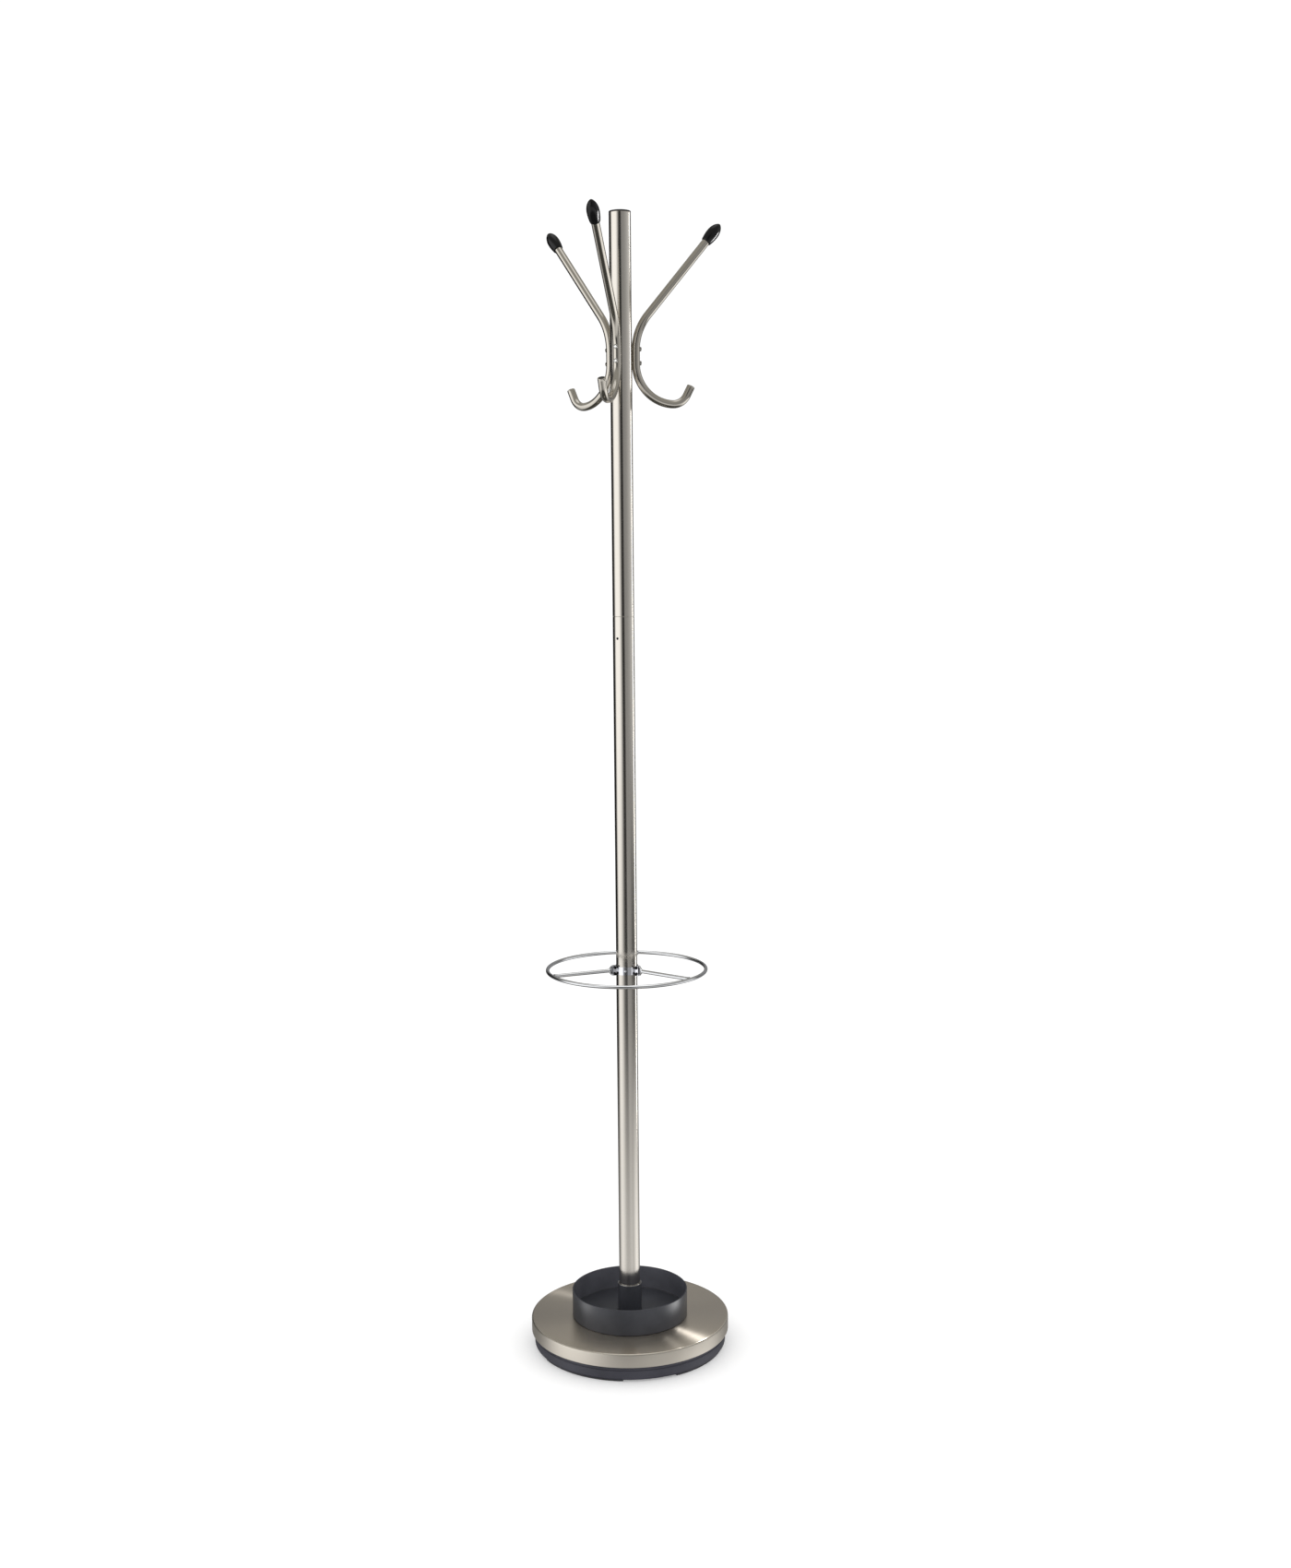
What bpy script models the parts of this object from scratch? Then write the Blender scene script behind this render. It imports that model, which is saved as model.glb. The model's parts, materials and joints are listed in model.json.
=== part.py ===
"""Standing coat rack with an umbrella ring and a drip tray.

Frame: +Z up, origin on the floor under the pole's axis, -Y towards the front.
Azimuths are in degrees, 0 at the front (-Y) and growing towards +X.
"""

import math

import bmesh
import bpy
from mathutils import Matrix, Vector

MM = 0.001
GAP = 0.3                      # running gap between touching pieces
SLIP = 0.4                     # clearance of a piece pushed inside the pole

# ---- driving dimensions, in millimetres ------------------------------------------------
TOTAL_HEIGHT = 1700.0
POLE_RADIUS = 16.0
TUBE_WALL = 1.2
SIDES_POLE = 32

COVER_RADIUS = 151.6
COVER_TOP = 45.0
COVER_RIM_BOTTOM = 24.2
COVER_SHEET = 1.2
COVER_EDGE_RADIUS = 2.5
SIDES_BASE = 48

SHELL_RADIUS = 147.0
SHELL_WALL = 2.5
SHELL_EDGE_RADIUS = 3.0
PAD_HEIGHT = 3.0
PAD_OUTER = 144.0
PAD_INNER = 124.0
PAD_ARC = 58.0
PAD_AZIMUTHS = {"front_left": -33.0, "front_right": 57.0, "back_right": 147.0, "back_left": -123.0}

BOLT_RADIUS = 5.0
BOLT_HOLE = 5.6
BOLT_TOP = 72.0
BOLT_TIP_CHAMFER = 1.0
BOLT_HEAD_CORNER = 9.8
BOLT_HEAD_LIFT = 0.2           # the head's distance above the shell's lowest face
WASHER_RADIUS = 22.0
WASHER_SHEET = 1.4
DIMPLE_RADIUS = 26.0
DIMPLE_UNDERSIDE = 11.0
DIMPLE_SLOPE = 3.0
DIMPLE_WALL = 2.0
WEIGHT_TOP = 14.0
WEIGHT_BOSS_RADIUS = 24.0
INSERT_TOP = 82.0

TRAY_RADIUS = 88.4
TRAY_RIM = 85.2
TRAY_WALL = 1.8
TRAY_FLOOR_TOP = 50.0
TRAY_FLOOR_SHEET = 2.4
TRAY_FOOT = 2.0                # width of the foot ring inside the wall's inner face
TRAY_FOOT_CHAMFER = 0.6
TRAY_RIM_CHAMFER = 0.4
TRAY_TUBE_RADIUS = 18.2
TRAY_TUBE_BORE = 16.5
TRAY_TUBE_TOP = 94.0
TRAY_FLANGE_RADIUS = 23.0

SEAM_LOWER = 587.0
SEAM_UPPER = 1118.0
JOINT_SLEEVE_HALF = 50.0
JOINT_SLEEVE_WALL = 2.0
SET_SCREW_HEIGHT = 1086.0
SET_SCREW_AZIMUTH = -35.0
SET_SCREW_RADIUS = 1.7
SET_SCREW_HOLE = 2.0
SET_SCREW_INNER_END = 9.5
SET_SCREW_SUNK = 0.9           # below the pole's surface
SET_SCREW_SOCKET_RADIUS = 0.8
SET_SCREW_SOCKET_DEPTH = 1.7
CAP_RIM = 1.7                  # thickness of the top cap's rim
CAP_DOME_RISE = 2.0            # the dome's top above the rim
CAP_DOME_RADIUS = 130.0
CAP_PLUG_DEPTH = 11.0

HOOK_AZIMUTHS = {"front": -15.0, "right": 105.0, "left": -135.0}
HOOK_ROD_RADIUS = 6.0
HOOK_LEAN = 39.8               # upper arm's angle from the vertical
HOOK_KNEE_HEIGHT = 1531.6      # where the arm's line meets the pole side's line
HOOK_KNEE_RADIUS = 80.0
HOOK_BACK_BOTTOM = 1484.0
HOOK_BOWL_RADIUS = 57.0
HOOK_BOWL_SWEEP = 88.0
HOOK_LIP_RADIUS = 24.0
HOOK_LIP_SWEEP = 65.0
HOOK_LIP_STRAIGHT = 15.0
HOOK_TIP_REACH = 138.0         # tip centre's distance from the pole's axis
HOOK_TIP_LENGTH = 42.0
HOOK_TIP_RADIUS = 9.8
HOOK_TIP_BASE = 7.4
HOOK_TIP_SOCKET = 12.0
HOOK_TIP_GRIP = 16.0           # the rod's end above the full olive's lower end
HOOK_SCREW_HEIGHTS = {"upper": 1505.0, "lower": 1485.0}
HOOK_SCREW_RADIUS = 1.6
HOOK_SCREW_HOLE = 2.0
HOOK_SCREW_HEAD_RADIUS = 3.3
HOOK_SCREW_HEAD = 2.2
HOOK_SCREW_HEAD_SEAT = 28.9
HOOK_SCREW_END = 9.0
HOOK_SCREW_DOME = 0.6          # the head's flat and its side, as shares of its radius and height
HOOK_PLUG_RADIUS = 4.0
HOOK_PLUG_DEPTH = 6.0
CORE_HALF = 23.0
CORE_BORE = 5.0

RING_HEIGHT = 587.0
RING_RADIUS = 119.6
WIRE_RADIUS = 2.75
SPOKE_AZIMUTHS = {"left": -68.0, "right": 52.0, "back": 172.0}
COLLAR_SHEET = 1.2
COLLAR_HALF = 6.0
EAR_HALF = 7.6                 # the ears and tangs stand taller than the band
EAR_INNER = 18.6
EAR_OUTER = 23.5
TANG_HALF = 1.2
TANG_OUTER = 28.5
CLAMP_OUT = 20.5
CLAMP_UP = 4.8
CLAMP_RADIUS = 1.2
CLAMP_HOLE = 1.5
CLAMP_HEAD_RADIUS = 2.3
CLAMP_HEAD = 2.2
CLAMP_NUT_RADIUS = 2.6
CLAMP_NUT = 2.0
CLAMP_TAIL = 0.8               # screw thread beyond the nut

# ---- materials: colour, roughness, metallic --------------------------------------------
LOOKS = {
    "brushed_steel": ((0.62, 0.58, 0.52), 0.32, 1.0),
    "chrome": ((0.75, 0.75, 0.74), 0.12, 1.0),
    "satin_charcoal": ((0.055, 0.055, 0.062), 0.45, 0.4),
    "shell_plastic": ((0.06, 0.06, 0.07), 0.5, 0.0),
    "gloss_black": ((0.012, 0.012, 0.012), 0.2, 0.0),
    "foot_rubber": ((0.04, 0.04, 0.045), 0.8, 0.0),
    "zinc_fastener": ((0.45, 0.45, 0.45), 0.35, 1.0),
    "dark_fastener": ((0.05, 0.05, 0.05), 0.4, 1.0),
    "cast_iron": ((0.09, 0.09, 0.09), 0.7, 1.0),
    "core_plastic": ((0.3, 0.3, 0.3), 0.6, 0.0),
}


def clear_scene():
    for obj in list(bpy.data.objects):
        bpy.data.objects.remove(obj, do_unlink=True)


def look(name):
    """The material of that name, made the first time it is asked for."""
    found = bpy.data.materials.get(name)
    if found:
        return found
    colour, roughness, metallic = LOOKS[name]
    made = bpy.data.materials.new(name)
    made.use_nodes = True
    shader = made.node_tree.nodes["Principled BSDF"]
    shader.inputs["Base Color"].default_value = (*colour, 1.0)
    shader.inputs["Roughness"].default_value = roughness
    shader.inputs["Metallic"].default_value = metallic
    return made


def empty(name, height, azimuth=0.0, parent=None):
    """A placing empty at that height on the pole's axis, +X turned to the azimuth."""
    made = bpy.data.objects.new(name, None)
    bpy.context.scene.collection.objects.link(made)
    made.location = (0.0, 0.0, height * MM)
    made.rotation_euler = (0.0, 0.0, math.radians(azimuth - 90.0))
    made.parent = parent
    return made


def add_object(name, bm, material=None, parent=None, location=(0, 0, 0), rotation=(0, 0, 0), sharp=35.0):
    """Closes the bmesh into an object, in millimetres until here, shaded smooth but for its edges."""
    bmesh.ops.scale(bm, vec=(MM, MM, MM), verts=bm.verts)
    bmesh.ops.recalc_face_normals(bm, faces=bm.faces)
    mesh = bpy.data.meshes.new(name)
    bm.to_mesh(mesh)
    bm.free()
    mesh.shade_smooth()
    mesh.set_sharp_from_angle(angle=math.radians(sharp))
    made = bpy.data.objects.new(name, mesh)
    bpy.context.scene.collection.objects.link(made)
    made.location = Vector(location) * MM
    made.rotation_euler = rotation
    made.parent = parent
    if material:
        mesh.materials.append(look(material))
    return made


def cutter(name, bm, parent=None, location=(0, 0, 0), rotation=(0, 0, 0)):
    made = add_object(name, bm, None, parent, location, rotation)
    made.hide_render = True
    made.display_type = "WIRE"
    return made


def boolean(obj, other, operation="DIFFERENCE"):
    step = obj.modifiers.new(other.name, "BOOLEAN")
    step.operation = operation
    step.solver = "EXACT"
    step.object = other


# ---- shapes ----------------------------------------------------------------------------
def arc(centre, radius, start, end, steps):
    """Points on an arc from start to end, in degrees, ends included."""
    points = []
    for i in range(steps + 1):
        angle = math.radians(start + (end - start) * i / steps)
        points.append((centre[0] + radius * math.cos(angle), centre[1] + radius * math.sin(angle)))
    return points


def turned(profile, sides):
    """A solid turned about Z from a closed (radius, height) outline."""
    bm = bmesh.new()
    verts = [bm.verts.new((r, 0.0, z)) for r, z in profile]
    on_axis = [i for i, (r, _) in enumerate(profile) if r == 0.0]
    edges = []
    for i, vert in enumerate(verts):
        follower = (i + 1) % len(verts)
        if i in on_axis and follower in on_axis:
            continue
        edges.append(bm.edges.new((vert, verts[follower])))
    bmesh.ops.spin(bm, geom=verts + edges, axis=(0, 0, 1), cent=(0, 0, 0),
                   angle=math.tau, steps=sides, use_merge=True)
    bmesh.ops.remove_doubles(bm, verts=bm.verts, dist=0.0005)
    return bm


def ring_profile(inner, outer, bottom, top):
    return [(inner, bottom), (outer, bottom), (outer, top), (inner, top)]


def rod(radius, start, end, sides=12):
    """A cylinder along local X from start to end."""
    bm = bmesh.new()
    turn = Matrix.Rotation(math.radians(90), 4, "Y")
    shift = Matrix.Translation(((start + end) / 2, 0.0, 0.0))
    bmesh.ops.create_cone(bm, cap_ends=True, segments=sides, radius1=radius, radius2=radius,
                          depth=end - start, matrix=shift @ turn)
    return bm


def prism(outline, bottom, top):
    """An upright solid on an (x, y) outline."""
    bm = bmesh.new()
    face = bm.faces.new([bm.verts.new((x, y, bottom)) for x, y in outline])
    raised = bmesh.ops.extrude_face_region(bm, geom=[face])["geom"]
    lifted = [item for item in raised if isinstance(item, bmesh.types.BMVert)]
    bmesh.ops.translate(bm, vec=(0.0, 0.0, top - bottom), verts=lifted)
    return bm


# ---- base ------------------------------------------------------------------------------
def build_base():
    floor_plate = PAD_HEIGHT + SHELL_WALL
    wall_inner = SHELL_RADIUS - SHELL_WALL
    shell_top = COVER_TOP - COVER_SHEET - GAP
    dimple_top = DIMPLE_UNDERSIDE + SHELL_WALL
    dimple_outer = DIMPLE_RADIUS + DIMPLE_WALL
    edge = arc((SHELL_RADIUS - SHELL_EDGE_RADIUS, PAD_HEIGHT + SHELL_EDGE_RADIUS),
               SHELL_EDGE_RADIUS, 0, -90, 3)
    shell = [(SHELL_RADIUS, shell_top), *edge,
             (DIMPLE_RADIUS + DIMPLE_SLOPE, PAD_HEIGHT), (DIMPLE_RADIUS, DIMPLE_UNDERSIDE),
             (BOLT_HOLE, DIMPLE_UNDERSIDE), (BOLT_HOLE, dimple_top), (dimple_outer, dimple_top),
             (dimple_outer + DIMPLE_SLOPE, floor_plate), (wall_inner, floor_plate), (wall_inner, shell_top)]
    add_object("base_shell", turned(shell, SIDES_BASE), "shell_plastic")

    pocket = dimple_outer + DIMPLE_SLOPE + GAP
    weight = [(BOLT_HOLE, dimple_top + GAP), (pocket, dimple_top + GAP), (pocket, floor_plate + GAP),
              (wall_inner - GAP, floor_plate + GAP), (wall_inner - GAP, WEIGHT_TOP),
              (WEIGHT_BOSS_RADIUS, WEIGHT_TOP), (WEIGHT_BOSS_RADIUS, shell_top), (BOLT_HOLE, shell_top)]
    add_object("base_weight", turned(weight, SIDES_BASE), "cast_iron")

    corner = (COVER_RADIUS - COVER_EDGE_RADIUS, COVER_TOP - COVER_EDGE_RADIUS)
    cover = [(BOLT_HOLE, COVER_TOP), *arc(corner, COVER_EDGE_RADIUS, 90, 0, 4),
             (COVER_RADIUS, COVER_RIM_BOTTOM), (COVER_RADIUS - COVER_SHEET, COVER_RIM_BOTTOM),
             *arc(corner, COVER_EDGE_RADIUS - COVER_SHEET, 0, 90, 2), (BOLT_HOLE, COVER_TOP - COVER_SHEET)]
    add_object("base_cover", turned(cover, SIDES_BASE), "brushed_steel")

    half = PAD_ARC / 2
    pad = arc((0, 0), PAD_OUTER, -half, half, 9) + arc((0, 0), PAD_INNER, half, -half, 9)
    for side, azimuth in PAD_AZIMUTHS.items():
        turn = (0.0, 0.0, math.radians(azimuth - 90.0))
        add_object(f"foot_pad_{side}", prism(pad, 0.0, PAD_HEIGHT - GAP), "foot_rubber", rotation=turn)


def build_centre_bolt():
    head_bottom = PAD_HEIGHT + BOLT_HEAD_LIFT
    washer_bottom = DIMPLE_UNDERSIDE - GAP - WASHER_SHEET
    head_top = washer_bottom - GAP
    shank_bottom = (head_bottom + head_top) / 2
    bolt = turned([(0.0, shank_bottom), (BOLT_RADIUS, shank_bottom),
                   (BOLT_RADIUS, BOLT_TOP - BOLT_TIP_CHAMFER),
                   (BOLT_RADIUS - BOLT_TIP_CHAMFER, BOLT_TOP), (0.0, BOLT_TOP)], 20)
    bolt_object = add_object("centre_bolt", bolt, "zinc_fastener")
    hexagon = arc((0, 0), BOLT_HEAD_CORNER, 0, 300, 5)
    head = cutter("guide_bolt_head", prism(hexagon, head_bottom, head_top))
    boolean(bolt_object, head, "UNION")
    washer = ring_profile(BOLT_RADIUS + SLIP, WASHER_RADIUS, washer_bottom, washer_bottom + WASHER_SHEET)
    add_object("bolt_washer", turned(washer, 24), "zinc_fastener")

    insert_radius = POLE_RADIUS - TUBE_WALL - SLIP
    insert = ring_profile(BOLT_RADIUS + GAP, insert_radius, COVER_TOP + 2 * GAP, INSERT_TOP)
    add_object("pole_insert", turned(insert, SIDES_POLE), "zinc_fastener")


# ---- pole ------------------------------------------------------------------------------
def build_pole():
    bore = POLE_RADIUS - TUBE_WALL
    tube_top = TOTAL_HEIGHT - CAP_DOME_RISE - CAP_RIM
    half_seam = GAP / 2
    spans = {"lower_tube": (COVER_TOP + GAP, SEAM_LOWER - half_seam),
             "middle_tube": (SEAM_LOWER + half_seam, SEAM_UPPER - half_seam),
             "upper_tube": (SEAM_UPPER + half_seam, tube_top)}
    tubes = {}
    for name, (bottom, top) in spans.items():
        tubes[name] = add_object(name, turned(ring_profile(bore, POLE_RADIUS, bottom, top), SIDES_POLE),
                                 "brushed_steel")

    sleeves = {}
    outer = bore - SLIP
    for name, seam in (("joint_sleeve_lower", SEAM_LOWER), ("joint_sleeve_upper", SEAM_UPPER)):
        profile = ring_profile(outer - JOINT_SLEEVE_WALL, outer,
                               seam - JOINT_SLEEVE_HALF, seam + JOINT_SLEEVE_HALF)
        sleeves[name] = add_object(name, turned(profile, SIDES_POLE), "zinc_fastener")

    placed = empty("set_screw_axis", SET_SCREW_HEIGHT, SET_SCREW_AZIMUTH)
    hole = cutter("cut_set_screw", rod(SET_SCREW_HOLE, SET_SCREW_INNER_END - 1.5, POLE_RADIUS + 4.0), placed)
    boolean(tubes["middle_tube"], hole)
    boolean(sleeves["joint_sleeve_upper"], hole)
    screw_top = POLE_RADIUS - SET_SCREW_SUNK
    screw = add_object("joint_set_screw", rod(SET_SCREW_RADIUS, SET_SCREW_INNER_END, screw_top),
                       "dark_fastener", placed)
    socket_end = screw_top - SET_SCREW_SOCKET_DEPTH
    socket = cutter("cut_set_screw_socket", rod(SET_SCREW_SOCKET_RADIUS, socket_end, POLE_RADIUS + 2.0, 6),
                    placed)
    boolean(screw, socket)

    reach = math.degrees(math.asin(POLE_RADIUS / CAP_DOME_RADIUS))
    dome = arc((0.0, TOTAL_HEIGHT - CAP_DOME_RADIUS), CAP_DOME_RADIUS, 90.0, 90.0 - reach, 3)
    rim_bottom = tube_top + GAP
    cap = [(0.0, TOTAL_HEIGHT), *dome[1:], (POLE_RADIUS, rim_bottom), (outer, rim_bottom),
           (outer, rim_bottom - CAP_PLUG_DEPTH), (0.0, rim_bottom - CAP_PLUG_DEPTH)]
    add_object("top_cap", turned(cap, SIDES_POLE), "gloss_black")
    return tubes["upper_tube"]


# ---- hooks -----------------------------------------------------------------------------
def hook_centreline():
    """The bent rod's (reach, height) points from the tip's socket down to the lip's end."""
    lean = math.radians(HOOK_LEAN)
    back = POLE_RADIUS + GAP + HOOK_ROD_RADIUS
    tangent = HOOK_KNEE_RADIUS * math.tan(lean / 2)
    run = (HOOK_TIP_REACH - back) / math.sin(lean) - HOOK_TIP_LENGTH / 2 + HOOK_TIP_GRIP
    start = (back + run * math.sin(lean), HOOK_KNEE_HEIGHT + run * math.cos(lean))
    knee = arc((back + HOOK_KNEE_RADIUS, HOOK_KNEE_HEIGHT - tangent), HOOK_KNEE_RADIUS,
               180.0 - HOOK_LEAN, 180.0, 6)
    bowl = arc((back + HOOK_BOWL_RADIUS, HOOK_BACK_BOTTOM), HOOK_BOWL_RADIUS,
               180.0, 180.0 + HOOK_BOWL_SWEEP, 9)
    bowl_end = math.radians(HOOK_BOWL_SWEEP)
    inner = HOOK_LIP_RADIUS
    lip_centre = (bowl[-1][0] + inner * math.cos(bowl_end), bowl[-1][1] + inner * math.sin(bowl_end))
    lip = arc(lip_centre, inner, 180.0 + HOOK_BOWL_SWEEP, 180.0 + HOOK_BOWL_SWEEP + HOOK_LIP_SWEEP, 5)
    rise = math.radians(HOOK_BOWL_SWEEP - 90.0 + HOOK_LIP_SWEEP)
    end = (lip[-1][0] + HOOK_LIP_STRAIGHT * math.cos(rise), lip[-1][1] + HOOK_LIP_STRAIGHT * math.sin(rise))
    return [start, *knee, *bowl, *lip[1:], end], rise


def bent_rod(name, points):
    """A round bar along (reach, height) points in the local XZ plane, as a mesh."""
    curve = bpy.data.curves.new(name, "CURVE")
    curve.dimensions = "3D"
    curve.bevel_depth = HOOK_ROD_RADIUS * MM
    curve.bevel_resolution = 3
    curve.use_fill_caps = True
    spline = curve.splines.new("POLY")
    spline.points.add(len(points) - 1)
    for point, (reach, height) in zip(spline.points, points):
        point.co = (reach * MM, 0.0, height * MM, 1.0)
    guide = bpy.data.objects.new(name, curve)
    bpy.context.scene.collection.objects.link(guide)
    evaluated = guide.evaluated_get(bpy.context.evaluated_depsgraph_get())
    mesh = bpy.data.meshes.new_from_object(evaluated)
    bpy.data.objects.remove(guide, do_unlink=True)
    bm = bmesh.new()
    bm.from_mesh(mesh)
    bmesh.ops.remove_doubles(bm, verts=bm.verts, dist=0.000001)
    bmesh.ops.scale(bm, vec=(1 / MM, 1 / MM, 1 / MM), verts=bm.verts)
    return bm


def tip_profile():
    """An olive with a blind socket for the rod, its base at height 0."""
    half = HOOK_TIP_LENGTH / 2
    socket = HOOK_ROD_RADIUS + 0.3
    start = math.degrees(math.asin(HOOK_TIP_BASE / HOOK_TIP_RADIUS)) - 90.0
    outline = []
    for i in range(9):
        angle = math.radians(start + (90.0 - start) * i / 8)
        outline.append((HOOK_TIP_RADIUS * math.cos(angle), half + half * math.sin(angle)))
    outline[-1] = (0.0, HOOK_TIP_LENGTH)
    base = outline[0][1]
    socket_top = base + HOOK_TIP_SOCKET
    return [(0.0, socket_top), (socket, socket_top), (socket, base), *outline]


def build_hooks(upper_tube):
    points, rise = hook_centreline()
    lean = math.radians(HOOK_LEAN)
    back = POLE_RADIUS + GAP + HOOK_ROD_RADIUS
    tip_height = HOOK_KNEE_HEIGHT + (HOOK_TIP_REACH - back) / math.tan(lean)
    tip_outline = tip_profile()
    tip_origin = (HOOK_TIP_REACH - math.sin(lean) * HOOK_TIP_LENGTH / 2, 0.0,
                  tip_height - math.cos(lean) * HOOK_TIP_LENGTH / 2)
    end_reach, end_height = points[-1]

    core_middle = sum(HOOK_SCREW_HEIGHTS.values()) / len(HOOK_SCREW_HEIGHTS)
    core_profile = ring_profile(CORE_BORE, POLE_RADIUS - TUBE_WALL - SLIP,
                                core_middle - CORE_HALF, core_middle + CORE_HALF)
    core = add_object("hook_core", turned(core_profile, 24), "core_plastic")

    for side, azimuth in HOOK_AZIMUTHS.items():
        placed = empty(f"hook_{side}_axis", 0.0, azimuth)
        arm = add_object(f"hook_{side}", bent_rod(f"guide_hook_{side}", points), "brushed_steel", placed,
                         sharp=50)
        add_object(f"hook_tip_{side}", turned(tip_outline, 16), "gloss_black", placed,
                   location=tip_origin, rotation=(0.0, lean, 0.0))

        pocket = cutter(f"cut_plug_{side}", rod(HOOK_PLUG_RADIUS + GAP, -HOOK_PLUG_DEPTH, 4.0, 10), placed,
                        location=(end_reach, 0.0, end_height), rotation=(0.0, -rise, 0.0))
        boolean(arm, pocket)
        add_object(f"hook_plug_{side}", rod(HOOK_PLUG_RADIUS, GAP - HOOK_PLUG_DEPTH, 0.6, 10), "gloss_black",
                   placed, location=(end_reach, 0.0, end_height), rotation=(0.0, -rise, 0.0))

        for level, height in HOOK_SCREW_HEIGHTS.items():
            drill = rod(HOOK_SCREW_HOLE, CORE_BORE - 2.0, HOOK_SCREW_HEAD_SEAT + 13.0, 10)
            hole = cutter(f"cut_screw_{side}_{level}", drill, placed, location=(0.0, 0.0, height))
            boolean(arm, hole)
            boolean(upper_tube, hole)
            boolean(core, hole)
            seat = HOOK_SCREW_HEAD_SEAT
            screw = turned([(0.0, HOOK_SCREW_END), (HOOK_SCREW_RADIUS, HOOK_SCREW_END),
                            (HOOK_SCREW_RADIUS, seat), (HOOK_SCREW_HEAD_RADIUS, seat),
                            (HOOK_SCREW_HEAD_RADIUS, seat + HOOK_SCREW_HEAD * HOOK_SCREW_DOME),
                            (HOOK_SCREW_HEAD_RADIUS * HOOK_SCREW_DOME, seat + HOOK_SCREW_HEAD),
                            (0.0, seat + HOOK_SCREW_HEAD)], 12)
            add_object(f"hook_screw_{side}_{level}", screw, "zinc_fastener", placed,
                       location=(0.0, 0.0, height), rotation=(0.0, math.radians(90), 0.0))


# ---- drip tray -------------------------------------------------------------------------
def build_tray():
    lift = empty("tray_lift_axis", COVER_TOP)
    bottom = GAP
    rim = TRAY_RIM - COVER_TOP
    floor_top = TRAY_FLOOR_TOP - COVER_TOP
    floor_under = floor_top - TRAY_FLOOR_SHEET
    hole = TRAY_TUBE_RADIUS + GAP
    wall_inner = TRAY_RADIUS - TRAY_WALL
    foot_inner = wall_inner - TRAY_FOOT
    pan = [(hole, floor_under), (foot_inner, floor_under), (foot_inner, bottom),
           (TRAY_RADIUS - TRAY_FOOT_CHAMFER, bottom), (TRAY_RADIUS, bottom + TRAY_FOOT_CHAMFER),
           (TRAY_RADIUS, rim - TRAY_RIM_CHAMFER), (TRAY_RADIUS - TRAY_RIM_CHAMFER, rim), (wall_inner, rim),
           (wall_inner, floor_top), (hole, floor_top)]
    add_object("drip_tray", turned(pan, SIDES_BASE), "satin_charcoal", lift)

    tube_top = TRAY_TUBE_TOP - COVER_TOP
    flange_top = floor_under - GAP
    tube = [(TRAY_TUBE_BORE, bottom), (TRAY_FLANGE_RADIUS, bottom), (TRAY_FLANGE_RADIUS, flange_top),
            (TRAY_TUBE_RADIUS, flange_top), (TRAY_TUBE_RADIUS, tube_top), (TRAY_TUBE_BORE, tube_top)]
    add_object("tray_tube", turned(tube, SIDES_POLE), "satin_charcoal", lift)


# ---- umbrella ring ---------------------------------------------------------------------
def collar_outline():
    """One third of the collar from above, with its two ears, centred on local +X."""
    inner = POLE_RADIUS + GAP
    outer = inner + COLLAR_SHEET
    face = TANG_HALF + GAP
    back = face + COLLAR_SHEET
    steps = 8

    def half_angle(radius, offset):
        return 60.0 - math.degrees(math.asin(offset / radius))

    def ear_point(out, offset, sign):
        angle = math.radians(60.0)
        x = out * math.cos(angle) + offset * math.sin(angle)
        y = out * math.sin(angle) - offset * math.cos(angle)
        return (x, sign * y)

    outer_half = half_angle(outer, back)
    inner_half = half_angle(inner, face)
    return [*arc((0, 0), outer, -outer_half, outer_half, steps),
            ear_point(EAR_OUTER, back, 1), ear_point(EAR_OUTER, face, 1),
            *arc((0, 0), inner, inner_half, -inner_half, steps),
            ear_point(EAR_OUTER, face, -1), ear_point(EAR_OUTER, back, -1)]


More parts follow.
